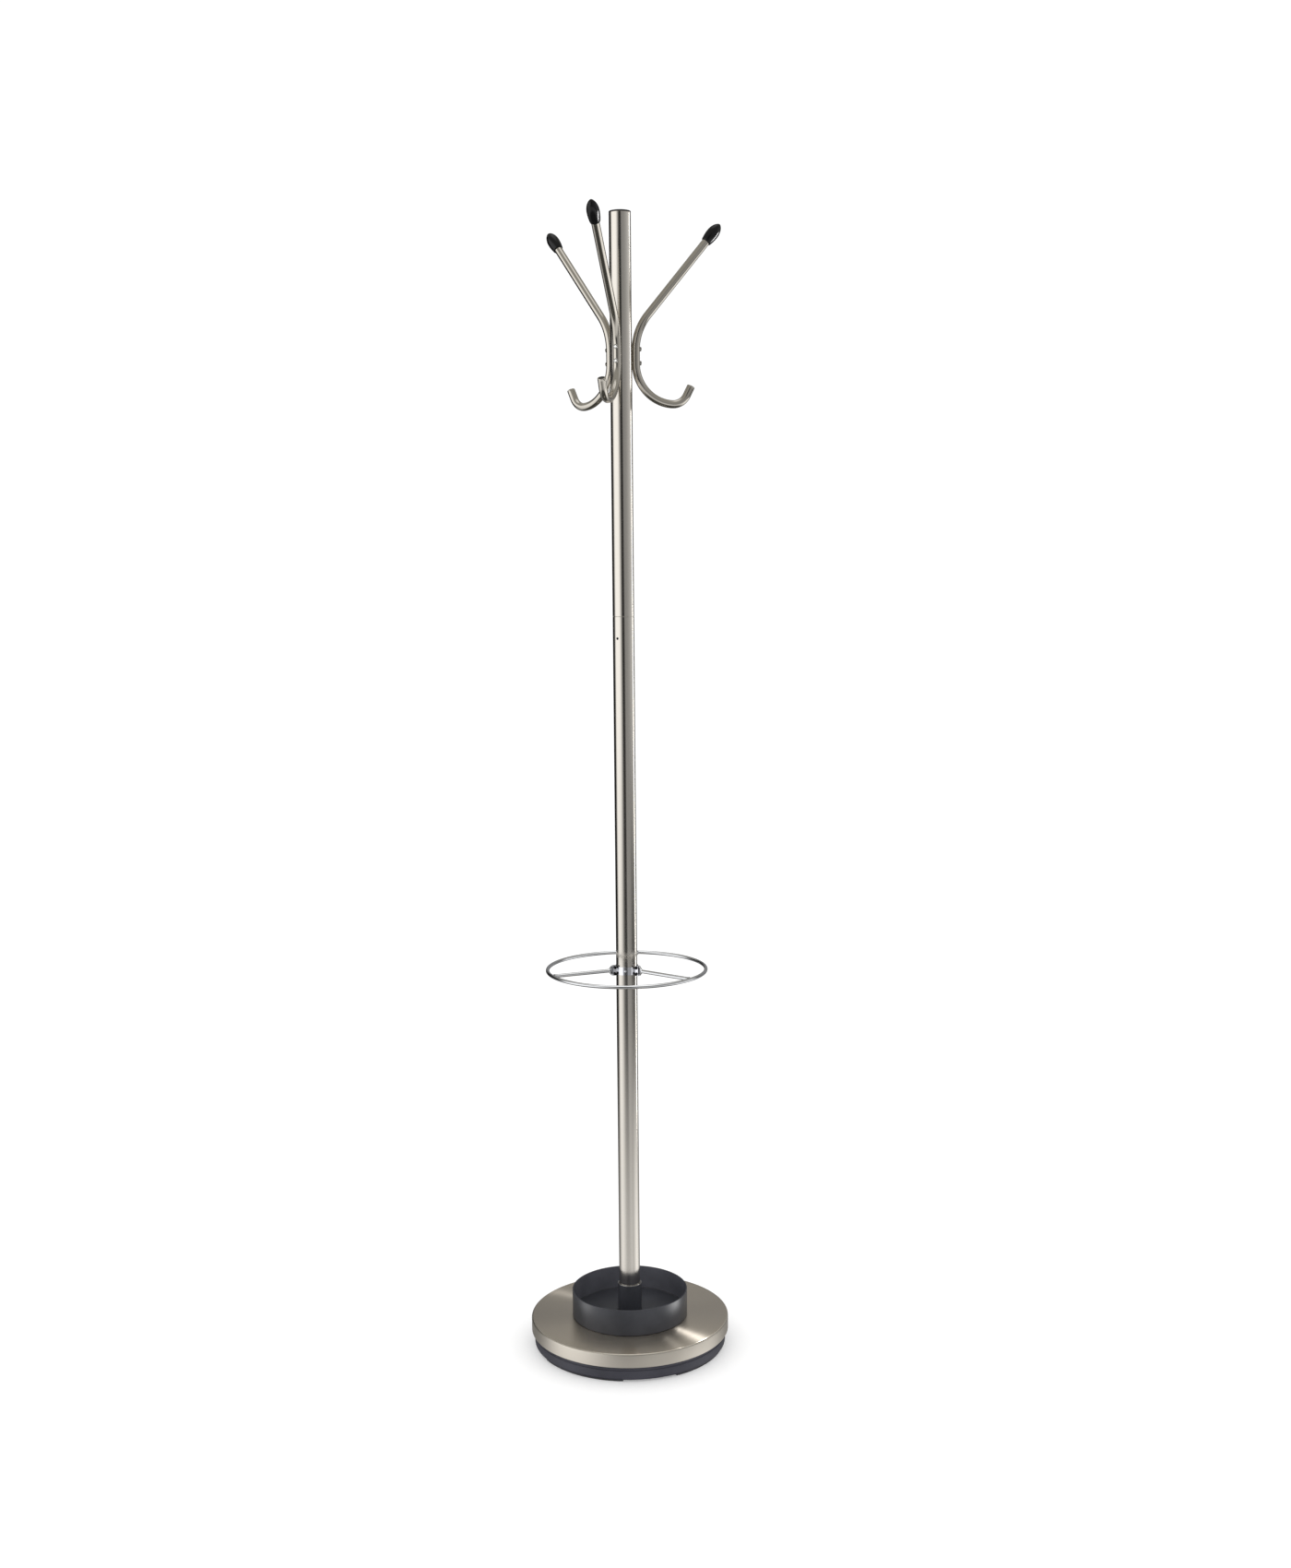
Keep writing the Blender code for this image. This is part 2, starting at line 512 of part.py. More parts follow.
def build_ring():
    turn_axis = empty("ring_turn_axis", RING_HEIGHT, 90.0)
    bm = bmesh.new()
    circle = bmesh.ops.create_circle(bm, cap_ends=False, segments=8, radius=WIRE_RADIUS,
                                     matrix=Matrix.Translation((RING_RADIUS, 0, 0))
                                     @ Matrix.Rotation(math.radians(90), 4, "X"))["verts"]
    edges = list({edge for vert in circle for edge in vert.link_edges})
    bmesh.ops.spin(bm, geom=circle + edges, axis=(0, 0, 1), cent=(0, 0, 0),
                   angle=math.tau, steps=48, use_merge=True)
    bmesh.ops.remove_doubles(bm, verts=bm.verts, dist=0.0005)
    add_object("umbrella_ring", bm, "chrome", turn_axis, sharp=60)

    outline = collar_outline()
    sides = list(SPOKE_AZIMUTHS)
    above = ring_profile(POLE_RADIUS - 1.0, EAR_INNER, COLLAR_HALF, EAR_HALF + 2.0)
    below = ring_profile(POLE_RADIUS - 1.0, EAR_INNER, -EAR_HALF - 2.0, -COLLAR_HALF)
    band_trims = [cutter("cut_band_top", turned(above, SIDES_POLE), turn_axis),
                  cutter("cut_band_bottom", turned(below, SIDES_POLE), turn_axis)]
    segments = {}
    for i, side in enumerate(sides):
        middle = SPOKE_AZIMUTHS[side] + 60.0
        turn = (0.0, 0.0, math.radians(middle - 90.0))
        segments[side] = add_object(f"collar_segment_{i + 1}", prism(outline, -EAR_HALF, EAR_HALF),
                                    "chrome", turn_axis, rotation=turn)
        for trim in band_trims:
            boolean(segments[side], trim)

    for i, side in enumerate(sides):
        turn = math.radians(SPOKE_AZIMUTHS[side] - 90.0)
        wire = rod(WIRE_RADIUS, EAR_OUTER + GAP, RING_RADIUS - WIRE_RADIUS - GAP)
        spoke = add_object(f"ring_spoke_{side}", wire, "chrome", turn_axis, rotation=(0.0, 0.0, turn))
        inner = POLE_RADIUS + 2 * GAP
        tang_outline = [(inner, -TANG_HALF), (TANG_OUTER, -TANG_HALF),
                        (TANG_OUTER, TANG_HALF), (inner, TANG_HALF)]
        tang = cutter(f"guide_tang_{side}", prism(tang_outline, -EAR_HALF, EAR_HALF), turn_axis,
                      rotation=(0.0, 0.0, turn))
        boolean(spoke, tang, "UNION")
        for trim in band_trims:
            boolean(spoke, trim)
        neighbours = (segments[side], segments[sides[i - 1]], spoke)
        for level, up in (("upper", CLAMP_UP), ("lower", -CLAMP_UP)):
            place_clamp(turn_axis, f"{side}_{level}", turn, up, neighbours)


def place_clamp(parent, label, turn, up, neighbours):
    """One clamp screw with its nut, across the ears and the tang between them."""
    along = Matrix.Rotation(turn, 4, "Z")
    location = tuple(along @ Vector((CLAMP_OUT, 0.0, up)))
    across = (0.0, 0.0, turn + math.radians(90))
    hole = cutter(f"cut_clamp_{label}", rod(CLAMP_HOLE, -8.0, 8.0, 10), parent, location, across)
    for piece in neighbours:
        boolean(piece, hole)
    seat = TANG_HALF + COLLAR_SHEET + 2 * GAP
    lie_down = (0.0, math.radians(90), turn - math.radians(90))
    tail = -seat - CLAMP_NUT - CLAMP_TAIL
    screw = turned([(0.0, tail), (CLAMP_RADIUS, tail), (CLAMP_RADIUS, seat), (CLAMP_HEAD_RADIUS, seat),
                    (CLAMP_HEAD_RADIUS, seat + CLAMP_HEAD), (0.0, seat + CLAMP_HEAD)], 12)
    add_object(f"collar_screw_{label}", screw, "dark_fastener", parent, location, lie_down)
    nut = turned(ring_profile(CLAMP_RADIUS + GAP, CLAMP_NUT_RADIUS, -seat - CLAMP_NUT, -seat), 6)
    add_object(f"collar_nut_{label}", nut, "dark_fastener", parent, location, lie_down, sharp=20)


clear_scene()
build_base()
build_centre_bolt()
upper = build_pole()
build_hooks(upper)
build_tray()
build_ring()
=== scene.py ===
"""The looks of the standing coat rack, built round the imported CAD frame."""

import json
import math

import bmesh
import bpy
from mathutils import Matrix, Vector

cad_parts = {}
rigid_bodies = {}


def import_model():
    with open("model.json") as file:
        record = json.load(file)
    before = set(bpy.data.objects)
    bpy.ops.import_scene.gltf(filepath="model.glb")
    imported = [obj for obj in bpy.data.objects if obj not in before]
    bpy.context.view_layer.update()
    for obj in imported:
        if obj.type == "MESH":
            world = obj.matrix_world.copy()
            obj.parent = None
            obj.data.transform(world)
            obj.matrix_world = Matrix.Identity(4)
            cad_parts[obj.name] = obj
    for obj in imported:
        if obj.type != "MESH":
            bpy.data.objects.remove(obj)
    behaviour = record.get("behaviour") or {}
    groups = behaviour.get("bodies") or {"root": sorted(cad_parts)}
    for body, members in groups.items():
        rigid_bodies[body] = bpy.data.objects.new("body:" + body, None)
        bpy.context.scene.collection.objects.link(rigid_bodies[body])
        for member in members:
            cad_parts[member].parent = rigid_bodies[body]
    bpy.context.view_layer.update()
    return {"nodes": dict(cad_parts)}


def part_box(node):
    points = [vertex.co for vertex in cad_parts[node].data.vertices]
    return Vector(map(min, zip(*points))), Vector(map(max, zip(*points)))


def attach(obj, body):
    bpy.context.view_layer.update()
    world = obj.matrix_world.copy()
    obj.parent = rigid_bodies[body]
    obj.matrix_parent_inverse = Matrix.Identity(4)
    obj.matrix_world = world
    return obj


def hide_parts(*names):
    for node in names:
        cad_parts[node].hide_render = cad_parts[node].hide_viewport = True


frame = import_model()

MM = 0.001

# ---- driving dimensions, in millimetres -------------------------------------------------
# Those that the CAD also has carry its values, but for the hooks' tips, a little slimmer here.
GAP = 0.3
POLE_WALL = 1.2

BOLT_HOLE = 5.6
COVER_SHEET = 1.2
COVER_EDGE = 2.5
SHELL_WALL = 2.5
SHELL_GROOVE_HEIGHT = 15.0
SHELL_GROOVE_DEPTH = 0.8
SHELL_RINGS = (120.0, 96.0, 72.0, 48.0)
PAD_AZIMUTHS = {"front_left": -33.0, "front_right": 57.0, "back_right": 147.0, "back_left": -123.0}
PAD_ARC = 58.0
PAD_INSET = 3.0
PAD_WIDTH = 20.0

HOOK_AZIMUTHS = {"front": -15.0, "right": 105.0, "left": -135.0}
HOOK_ROD_RADIUS = 6.0
HOOK_LEAN = 39.8
HOOK_KNEE_HEIGHT = 1531.6
HOOK_KNEE_RADIUS = 80.0
HOOK_BACK_BOTTOM = 1484.0
HOOK_BOWL_RADIUS = 57.0
HOOK_BOWL_SWEEP = 88.0
HOOK_LIP_RADIUS = 24.0
HOOK_LIP_SWEEP = 65.0
HOOK_LIP_STRAIGHT = 15.0
HOOK_TIP_REACH = 138.0
HOOK_TIP_LENGTH = 42.0
HOOK_TIP_RADIUS = 9.2
HOOK_TIP_BASE = 7.2
HOOK_TIP_GRIP = 16.0
HOOK_TIP_SOCKET = 12.0
HOOK_POCKET = 4.2
HOOK_POCKET_DEPTH = 6.0
HOOK_SCREW_HEIGHTS = {"upper": 1505.0, "lower": 1485.0}
HOOK_SCREW_SEAT = 28.9
HOOK_SCREW_HEAD = 3.3
HOOK_SCREW_HEAD_HEIGHT = 2.2
HOOK_SCREW_SHANK = 1.6
HOOK_SCREW_END = 9.0

SET_SCREW_HEIGHT = 1086.0
SET_SCREW_AZIMUTH = -35.0
SET_SCREW_HOLE = 2.0

TRAY_WALL = 1.8
TRAY_FLOOR_RISE = 5.0
TRAY_FLOOR_THICKNESS = 2.4
TRAY_BORE = 18.5
TRAY_TUBE_BORE = 16.5
TRAY_TUBE_RADIUS = 18.2
TRAY_FLANGE = 2.0

SPOKE_AZIMUTHS = {"left": -68.0, "right": 52.0, "back": 172.0}
SPOKE_INNER = 16.6
SPOKE_ROUND_FROM = 30.0
COLLAR_HALF = 6.0
COLLAR_SHEET = 1.2
COLLAR_HALF_ANGLE = 60.0
EAR_HALF = 7.6
EAR_INNER = 18.6
EAR_OUTER = 23.5
TANG_HALF = 1.2
CLAMP_OUT = 20.5
CLAMP_UP = 4.8
CLAMP_HOLE = 1.5
CLAMP_SHANK = 1.2
CLAMP_HEAD = 2.3
CLAMP_HEAD_HEIGHT = 2.2
CLAMP_SOCKET = 1.15
CLAMP_SEAT = TANG_HALF + COLLAR_SHEET + 2 * GAP
NUT_RADIUS = 2.6
NUT_BORE = 1.5
NUT_HEIGHT = 2.0


def span(node):
    """A CAD node's lowest and highest corners in millimetres."""
    low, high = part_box(node)
    return Vector(low) / MM, Vector(high) / MM


# ---- materials -------------------------------------------------------------------------
def new_material(name, colour, roughness, metallic=0.0):
    made = bpy.data.materials.new(name)
    made.use_nodes = True
    shader = made.node_tree.nodes["Principled BSDF"]
    shader.inputs["Base Color"].default_value = (*colour, 1.0)
    shader.inputs["Roughness"].default_value = roughness
    shader.inputs["Metallic"].default_value = metallic
    return made, made.node_tree, shader


def node(tree, kind, links=None, **settings):
    """A new node, its properties set and its inputs linked or filled."""
    made = tree.nodes.new(kind)
    for key, value in settings.items():
        setattr(made, key, value)
    for key, value in (links or {}).items():
        if isinstance(value, bpy.types.NodeSocket):
            tree.links.new(value, made.inputs[key])
        else:
            made.inputs[key].default_value = value
    return made


def maths(tree, operation, first, second=0.0):
    return node(tree, "ShaderNodeMath", {0: first, 1: second}, operation=operation).outputs[0]


def ramp(tree, factor, stops):
    """A colour ramp with (place, colour) stops, where a number is a grey."""
    made = node(tree, "ShaderNodeValToRGB", {"Fac": factor})
    elements = made.color_ramp.elements
    while len(elements) > 1:
        elements.remove(elements[-1])
    for i, (place, colour) in enumerate(stops):
        element = elements[0] if i == 0 else elements.new(place)
        element.position = place
        grey = (colour, colour, colour) if isinstance(colour, float) else colour
        element.color = (*grey, 1.0)
    return made.outputs["Color"]


def map_range(tree, value, from_low, from_high, to_low, to_high):
    links = {"Value": value, "From Min": from_low, "From Max": from_high, "To Min": to_low, "To Max": to_high}
    return node(tree, "ShaderNodeMapRange", links).outputs["Result"]


def mixed(tree, factor, first, second):
    made = node(tree, "ShaderNodeMix", data_type="RGBA")
    for key, value in (("Factor", factor), ("A", first), ("B", second)):
        socket = [s for s in made.inputs if s.name == key and s.enabled][0]
        if isinstance(value, bpy.types.NodeSocket):
            tree.links.new(value, socket)
        else:
            socket.default_value = value
    return [s for s in made.outputs if s.enabled][0]


def noise(tree, vector, scale, detail, roughness):
    links = {"Vector": vector, "Scale": scale, "Detail": detail, "Roughness": roughness}
    return node(tree, "ShaderNodeTexNoise", links).outputs["Fac"]


def bump(tree, shader, height, strength, distance):
    made = node(tree, "ShaderNodeBump", {"Height": height, "Strength": strength, "Distance": distance})
    tree.links.new(made.outputs["Normal"], shader.inputs["Normal"])


def scaled(colour, factor, lift=0.0):
    """The colour times a factor, as a socket takes it."""
    return (*[min(c * factor + lift, 1.0) for c in colour], 1.0)


def object_place(tree):
    return node(tree, "ShaderNodeTexCoord").outputs["Object"]


def turned_coordinates(tree):
    """Object space as distance from the axis, angle and height."""
    place = object_place(tree)
    parts = node(tree, "ShaderNodeSeparateXYZ", {0: place})
    flat = node(tree, "ShaderNodeCombineXYZ", {0: parts.outputs[0], 1: parts.outputs[1]})
    out = node(tree, "ShaderNodeVectorMath", {0: flat.outputs[0]}, operation="LENGTH").outputs["Value"]
    angle = maths(tree, "ARCTAN2", parts.outputs[1], parts.outputs[0])
    return out, angle, parts.outputs[2]


def grain_lines(tree, across, along, density, stretch):
    """Brushed lines: quick change across the strokes, slow change along them."""
    links = {0: maths(tree, "MULTIPLY", across, density), 1: maths(tree, "MULTIPLY", along, stretch)}
    return noise(tree, node(tree, "ShaderNodeCombineXYZ", links).outputs[0], 1.0, 3.0, 0.6)


def brushed_steel(name, style, colour, roughness, anisotropy, relief):
    """Steel brushed round a turned disc, round a tube, or round a bent rod."""
    made, tree, shader = new_material(name, colour, roughness, 1.0)
    place = object_place(tree)
    if style == "rod":
        uv = node(tree, "ShaderNodeUVMap", uv_map="along").outputs["UV"]
        parts = node(tree, "ShaderNodeSeparateXYZ", {0: uv})
        across, along = parts.outputs[0], parts.outputs[1]
    else:
        out, along, up = turned_coordinates(tree)
        across = maths(tree, "ADD", out, up) if style == "disc" else up
    coarse_density, coarse_share = (300.0, 0.5) if style == "disc" else (520.0, 0.3)
    fine = grain_lines(tree, across, along, 2600.0, 3.0)
    coarse = grain_lines(tree, across, along, coarse_density, 1.2)
    both = mixed(tree, coarse_share, fine, coarse)
    cloud = noise(tree, place, 7.0, 3.0, 0.5)
    smudge = ramp(tree, noise(tree, place, 22.0, 4.0, 0.6), [(0.5, 0.0), (0.8, 1.0)])
    lines = map_range(tree, both, 0.3, 0.7, 0.0, 1.0)
    tone = mixed(tree, lines, scaled(colour, 0.965), scaled(colour, 1.03))
    warmer = (colour[0] * 0.96, colour[1] * 0.955, colour[2] * 0.94, 1.0)
    tone = mixed(tree, map_range(tree, cloud, 0.35, 0.7, 0.0, 0.5), tone, warmer)
    tree.links.new(tone, shader.inputs["Base Color"])
    worn = map_range(tree, both, 0.25, 0.75, roughness * 0.9, roughness * 1.12)
    worn = maths(tree, "ADD", worn, maths(tree, "MULTIPLY", smudge, 0.02))
    tree.links.new(worn, shader.inputs["Roughness"])
    shader.inputs["Anisotropic"].default_value = anisotropy
    if style == "rod":
        tangent = node(tree, "ShaderNodeTangent", direction_type="UV_MAP", uv_map="along")
    else:
        tangent = node(tree, "ShaderNodeTangent", direction_type="RADIAL", axis="Z")
        shader.inputs["Anisotropic Rotation"].default_value = 0.25
    tree.links.new(tangent.outputs[0], shader.inputs["Tangent"])
    bump(tree, shader, both, relief, 0.00004)
    return made


def chrome(name, colour, roughness):
    """Chrome plate with a faint ripple and a film of handling."""
    made, tree, shader = new_material(name, colour, roughness, 1.0)
    place = object_place(tree)
    ripple = noise(tree, place, 120.0, 2.0, 0.5)
    haze = noise(tree, place, 30.0, 4.0, 0.6)
    worn = map_range(tree, haze, 0.35, 0.75, roughness * 0.6, roughness * 1.5)
    tree.links.new(worn, shader.inputs["Roughness"])
    film = map_range(tree, haze, 0.4, 0.8, 0.0, 0.4)
    tone = mixed(tree, film, scaled(colour, 1.0), scaled(colour, 0.9))
    tree.links.new(tone, shader.inputs["Base Color"])
    bump(tree, shader, ripple, 0.05, 0.00008)
    return made


def satin_coat(name, colour, roughness, grain=900.0):
    """A satin coat or moulded plastic: fine orange peel, faint mottling, scuffs that lighten it."""
    made, tree, shader = new_material(name, colour, roughness)
    place = object_place(tree)
    peel = noise(tree, place, grain, 4.0, 0.55)
    mottle = noise(tree, place, 14.0, 5.0, 0.6)
    strokes = {"Vector": place, "Scale": (60.0, 60.0, 900.0), "Rotation": (0.3, 0.2, 0.6)}
    scratches = noise(tree, node(tree, "ShaderNodeMapping", strokes).outputs[0], 1.0, 3.0, 0.7)
    patches = map_range(tree, mottle, 0.3, 0.7, 0.0, 1.0)
    tone = mixed(tree, patches, scaled(colour, 0.82), scaled(colour, 1.35, 0.006))
    scuffed = ramp(tree, scratches, [(0.66, 0.0), (0.74, 1.0)])
    tone = mixed(tree, maths(tree, "MULTIPLY", scuffed, 0.25), tone, scaled(colour, 2.2))
    tree.links.new(tone, shader.inputs["Base Color"])
    worn = map_range(tree, mottle, 0.3, 0.7, roughness * 0.9, roughness * 1.15)
    worn = maths(tree, "ADD", worn, maths(tree, "MULTIPLY", scuffed, -0.06))
    tree.links.new(worn, shader.inputs["Roughness"])
    bump(tree, shader, peel, 0.35, 0.00006)
    return made


def gloss_black():
    """Glossy black plastic with a slow wave in its surface."""
    made, tree, shader = new_material("gloss_black_tip", (0.004, 0.004, 0.0045), 0.16)
    place = object_place(tree)
    wave = noise(tree, place, 60.0, 2.0, 0.5)
    haze = noise(tree, place, 240.0, 3.0, 0.6)
    tree.links.new(map_range(tree, haze, 0.35, 0.7, 0.13, 0.22), shader.inputs["Roughness"])
    film = map_range(tree, haze, 0.3, 0.8, 0.0, 1.0)
    tone = mixed(tree, film, (0.0035, 0.0035, 0.004, 1.0), (0.0065, 0.0065, 0.007, 1.0))
    tree.links.new(tone, shader.inputs["Base Color"])
    shader.inputs["Specular IOR Level"].default_value = 0.36
    bump(tree, shader, wave, 0.10, 0.0002)
    return made


def fastener(name, colour, roughness):
    """Plated or blackened fastener: turning marks and a mottled film."""
    made, tree, shader = new_material(name, colour, roughness, 1.0)
    place = object_place(tree)
    marks = noise(tree, place, 1500.0, 4.0, 0.6)
    film = noise(tree, place, 180.0, 4.0, 0.6)
    patches = map_range(tree, film, 0.3, 0.7, 0.0, 1.0)
    tone = mixed(tree, patches, scaled(colour, 0.8), scaled(colour, 1.15))
    tree.links.new(tone, shader.inputs["Base Color"])
    worn = map_range(tree, film, 0.3, 0.7, roughness * 0.8, roughness * 1.3)
    tree.links.new(worn, shader.inputs["Roughness"])
    bump(tree, shader, marks, 0.2, 0.00003)
    return made


def cast_iron():
    """Rough sand-cast iron with patches of rust."""
    made, tree, shader = new_material("cast_iron", (0.07, 0.07, 0.072), 0.65, 0.8)
    place = object_place(tree)
    grit = noise(tree, place, 700.0, 6.0, 0.65)
    rust = ramp(tree, noise(tree, place, 24.0, 5.0, 0.65), [(0.52, 0.0), (0.72, 1.0)])
    share = maths(tree, "MULTIPLY", rust, 0.5)
    tone = mixed(tree, share, (0.065, 0.065, 0.068, 1.0), (0.16, 0.085, 0.05, 1.0))
    tree.links.new(tone, shader.inputs["Base Color"])
    tree.links.new(map_range(tree, grit, 0.3, 0.7, 0.5, 0.85), shader.inputs["Roughness"])
    bump(tree, shader, grit, 0.6, 0.0006)
    return made


# ---- meshes, in millimetres until they are closed into objects --------------------------
def rounded(corners, steps=5):
    """A closed outline from (x, y, fillet radius) corners, each fillet an arc."""
    outline = []
    count = len(corners)
    for i, (x, y, radius) in enumerate(corners):
        here = Vector((x, y))
        if radius <= 0.0:
            outline.append((x, y))
            continue
        back = (Vector(corners[i - 1][:2]) - here).normalized()
        ahead = (Vector(corners[(i + 1) % count][:2]) - here).normalized()
        half = back.angle(ahead) / 2
        reach = radius / math.tan(half)
        centre = here + (back + ahead).normalized() * (radius / math.sin(half))
        start = here + back * reach - centre
        turn = start.angle_signed(here + ahead * reach - centre)
        for k in range(steps + 1):
            arm = start.copy()
            arm.rotate(Matrix.Rotation(-turn * k / steps, 2))
            outline.append(tuple(centre + arm))
    return outline


def lathe_mesh(outline, sides):
    bm = bmesh.new()
    rings = []
    for r, z in outline:
        if r < 1e-6:
            rings.append([bm.verts.new((0.0, 0.0, z))])
            continue
        ring = []
        for k in range(sides):
            angle = math.tau * k / sides
            ring.append(bm.verts.new((r * math.cos(angle), r * math.sin(angle), z)))
        rings.append(ring)
    for i, ring in enumerate(rings):
        ahead = rings[(i + 1) % len(rings)]
        if len(ring) == 1 and len(ahead) == 1:
            continue
        for k in range(sides):
            follower = (k + 1) % sides
            corners = [ring[k % len(ring)], ring[follower % len(ring)],
                       ahead[follower % len(ahead)], ahead[k % len(ahead)]]
            bm.faces.new(list(dict.fromkeys(corners)))
    return bm


def close(name, bm, material, sharp=40.0, place=None):
    """The bmesh as a smooth object at its place."""
    if place is not None:
        bmesh.ops.transform(bm, matrix=place, verts=bm.verts)
    bmesh.ops.scale(bm, vec=(MM, MM, MM), verts=bm.verts)
    bmesh.ops.recalc_face_normals(bm, faces=bm.faces)
    mesh = bpy.data.meshes.new(name)
    bm.to_mesh(mesh)
    bm.free()
    mesh.shade_smooth()
    mesh.set_sharp_from_angle(angle=math.radians(sharp))
    made = bpy.data.objects.new(name, mesh)
    bpy.context.scene.collection.objects.link(made)
    mesh.materials.append(material)
    return made


def ring_section(bm, centre, side, up, points):
    return [bm.verts.new(centre + side * a + up * b) for a, b in points]


def skin(bm, rings, cap=True):
    """Quads between rings of equal count, and one face over each end."""
    for before, after in zip(rings, rings[1:]):
        count = len(before)
        for k in range(count):
            follower = (k + 1) % count
            bm.faces.new((before[k], before[follower], after[follower], after[k]))
    if cap:
        bm.faces.new(list(reversed(rings[0])))
        bm.faces.new(rings[-1])


def circle(radius, sides):
    angles = [math.tau * k / sides for k in range(sides)]
    return [(radius * math.cos(angle), radius * math.sin(angle)) for angle in angles]


def heading(azimuth):
    """Turns local +X to the azimuth."""
    return Matrix.Rotation(math.radians(azimuth - 90.0), 4, "Z")


def outward(azimuth, height):
    """Turns local +Z to point out from the axis at the azimuth."""
    return Matrix.Translation((0, 0, height)) @ heading(azimuth) @ Matrix.Rotation(math.radians(90), 4, "Y")


def prism_mesh(outline, bottom, top):
    bm = bmesh.new()
    low = [bm.verts.new((x, y, bottom)) for x, y in outline]
    high = [bm.verts.new((x, y, top)) for x, y in outline]
    skin(bm, [low, high])
    return bm


def arc(centre, radius, start, end, steps):
    points = []
    for i in range(steps + 1):
        angle = math.radians(start + (end - start) * i / steps)
        points.append((centre[0] + radius * math.cos(angle), centre[1] + radius * math.sin(angle)))
    return points


def subtract(obj, tools, sharp=40.0):
    """Cuts the tool objects out of obj for good, and removes them."""
    for tool in tools:
        step = obj.modifiers.new("cut", "BOOLEAN")
        step.operation = "DIFFERENCE"
        step.solver = "EXACT"
        step.object = tool
    evaluated = obj.evaluated_get(bpy.context.evaluated_depsgraph_get())
    mesh = bpy.data.meshes.new_from_object(evaluated)
    obj.modifiers.clear()
    obj.data = mesh
    mesh.shade_smooth()
    mesh.set_sharp_from_angle(angle=math.radians(sharp))
    for tool in tools:
        bpy.data.objects.remove(tool, do_unlink=True)


def soften(obj, width, segments, limit):
    """A bevel in millimetres on the edges sharper than the limit."""
    bevel = obj.modifiers.new("soft_edge", "BEVEL")
    bevel.width = width * MM
    bevel.segments = segments
    bevel.limit_method = "ANGLE"
    bevel.angle_limit = math.radians(limit)


def settle(obj, body, slot, *nodes):
    """Rides obj on its body and hides the CAD nodes that it stands for; its slot is not used."""
    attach(obj, body)
    if nodes:
        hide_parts(*nodes)


# ---- base ------------------------------------------------------------------------------
def build_cover(material, rim):
    low, high = span("base_cover")
    radius, top, bottom = high.x, high.z, low.z
    inside, under = radius - COVER_SHEET, top - COVER_SHEET
    corners = [(BOLT_HOLE, top, 0), (radius, top, COVER_EDGE), (radius, bottom, 0.35), (inside, bottom, 0.35),
               (inside, under, 1.2), (BOLT_HOLE, under, 0)]
    cover = close("cover_disc", lathe_mesh(rounded(corners, 8), 256), material)
    cover.data.materials.append(rim)
    for polygon in cover.data.polygons:
        if polygon.normal.z < 0.9:
            polygon.material_index = 1
    settle(cover, "stand", "brushed_steel", "base_cover")


def build_shell(material):
    """A pan with a groove round its flank, ring grooves below and a well for the bolt."""
    low, high = span("base_shell")
    radius, top, bottom = high.x, high.z, low.z
    inside, floor = radius - SHELL_WALL, bottom + SHELL_WALL
    groove, deep = bottom + SHELL_GROOVE_HEIGHT, radius - SHELL_GROOVE_DEPTH
    well, well_floor = bottom + 8.0, bottom + 10.5
    corners = [(radius, top, 0.3), (radius, groove + 0.8, 0.2), (deep, groove + 0.4, 0.2),
               (deep, groove - 0.4, 0.2), (radius, groove - 0.8, 0.2), (radius, bottom, 3.2)]
    for reach in SHELL_RINGS:
        corners += [(reach + 1.6, bottom, 0.3), (reach + 0.8, bottom + 0.9, 0.3),
                    (reach - 0.8, bottom + 0.9, 0.3), (reach - 1.6, bottom, 0.3)]
    corners += [(29.0, bottom, 0.8), (26.0, well, 0.8), (BOLT_HOLE, well, 0.2), (BOLT_HOLE, well_floor, 0.2),
                (28.0, well_floor, 0.8), (31.0, floor, 0.8), (inside, floor, 2.0), (inside, top, 0.3)]
    shell = close("shell_pan", lathe_mesh(rounded(corners, 4), 224), material)
    settle(shell, "stand", "shell_plastic", "base_shell")


def build_pads(material):
    outer = span("base_shell")[1].x - PAD_INSET
    inner = outer - PAD_WIDTH
    half = PAD_ARC / 2 - math.degrees(1.0 / outer)
    outline = arc((0, 0), outer, -half, half, 40) + arc((0, 0), inner, half, -half, 40)
    for side, azimuth in PAD_AZIMUTHS.items():
        low, high = span(f"foot_pad_{side}")
        pad = close(f"pad_{side}", prism_mesh(outline, low.z, high.z), material, 50.0, heading(azimuth))
        soften(pad, 0.8, 4, 50.0)
        settle(pad, "stand", "foot_rubber", f"foot_pad_{side}")


# ---- pole ------------------------------------------------------------------------------
def radial_normals(mesh, radius):
    """True cylinder normals on the outer wall, so a hole doesn't disturb its reflections."""
    normals = []
    for polygon in mesh.polygons:
        upright = abs(polygon.normal.z) < 0.2
        for index in polygon.loop_indices:
            spot = mesh.vertices[mesh.loops[index].vertex_index].co
            out = Vector((spot.x, spot.y, 0.0))
            on_wall = upright and abs(out.length - radius * MM) < 0.02 * MM
            faces_out = on_wall and polygon.normal.dot(out.normalized()) > 0.9
            normals.append(out.normalized() if faces_out else Vector((0.0, 0.0, 0.0)))
    mesh.normals_split_custom_set(normals)


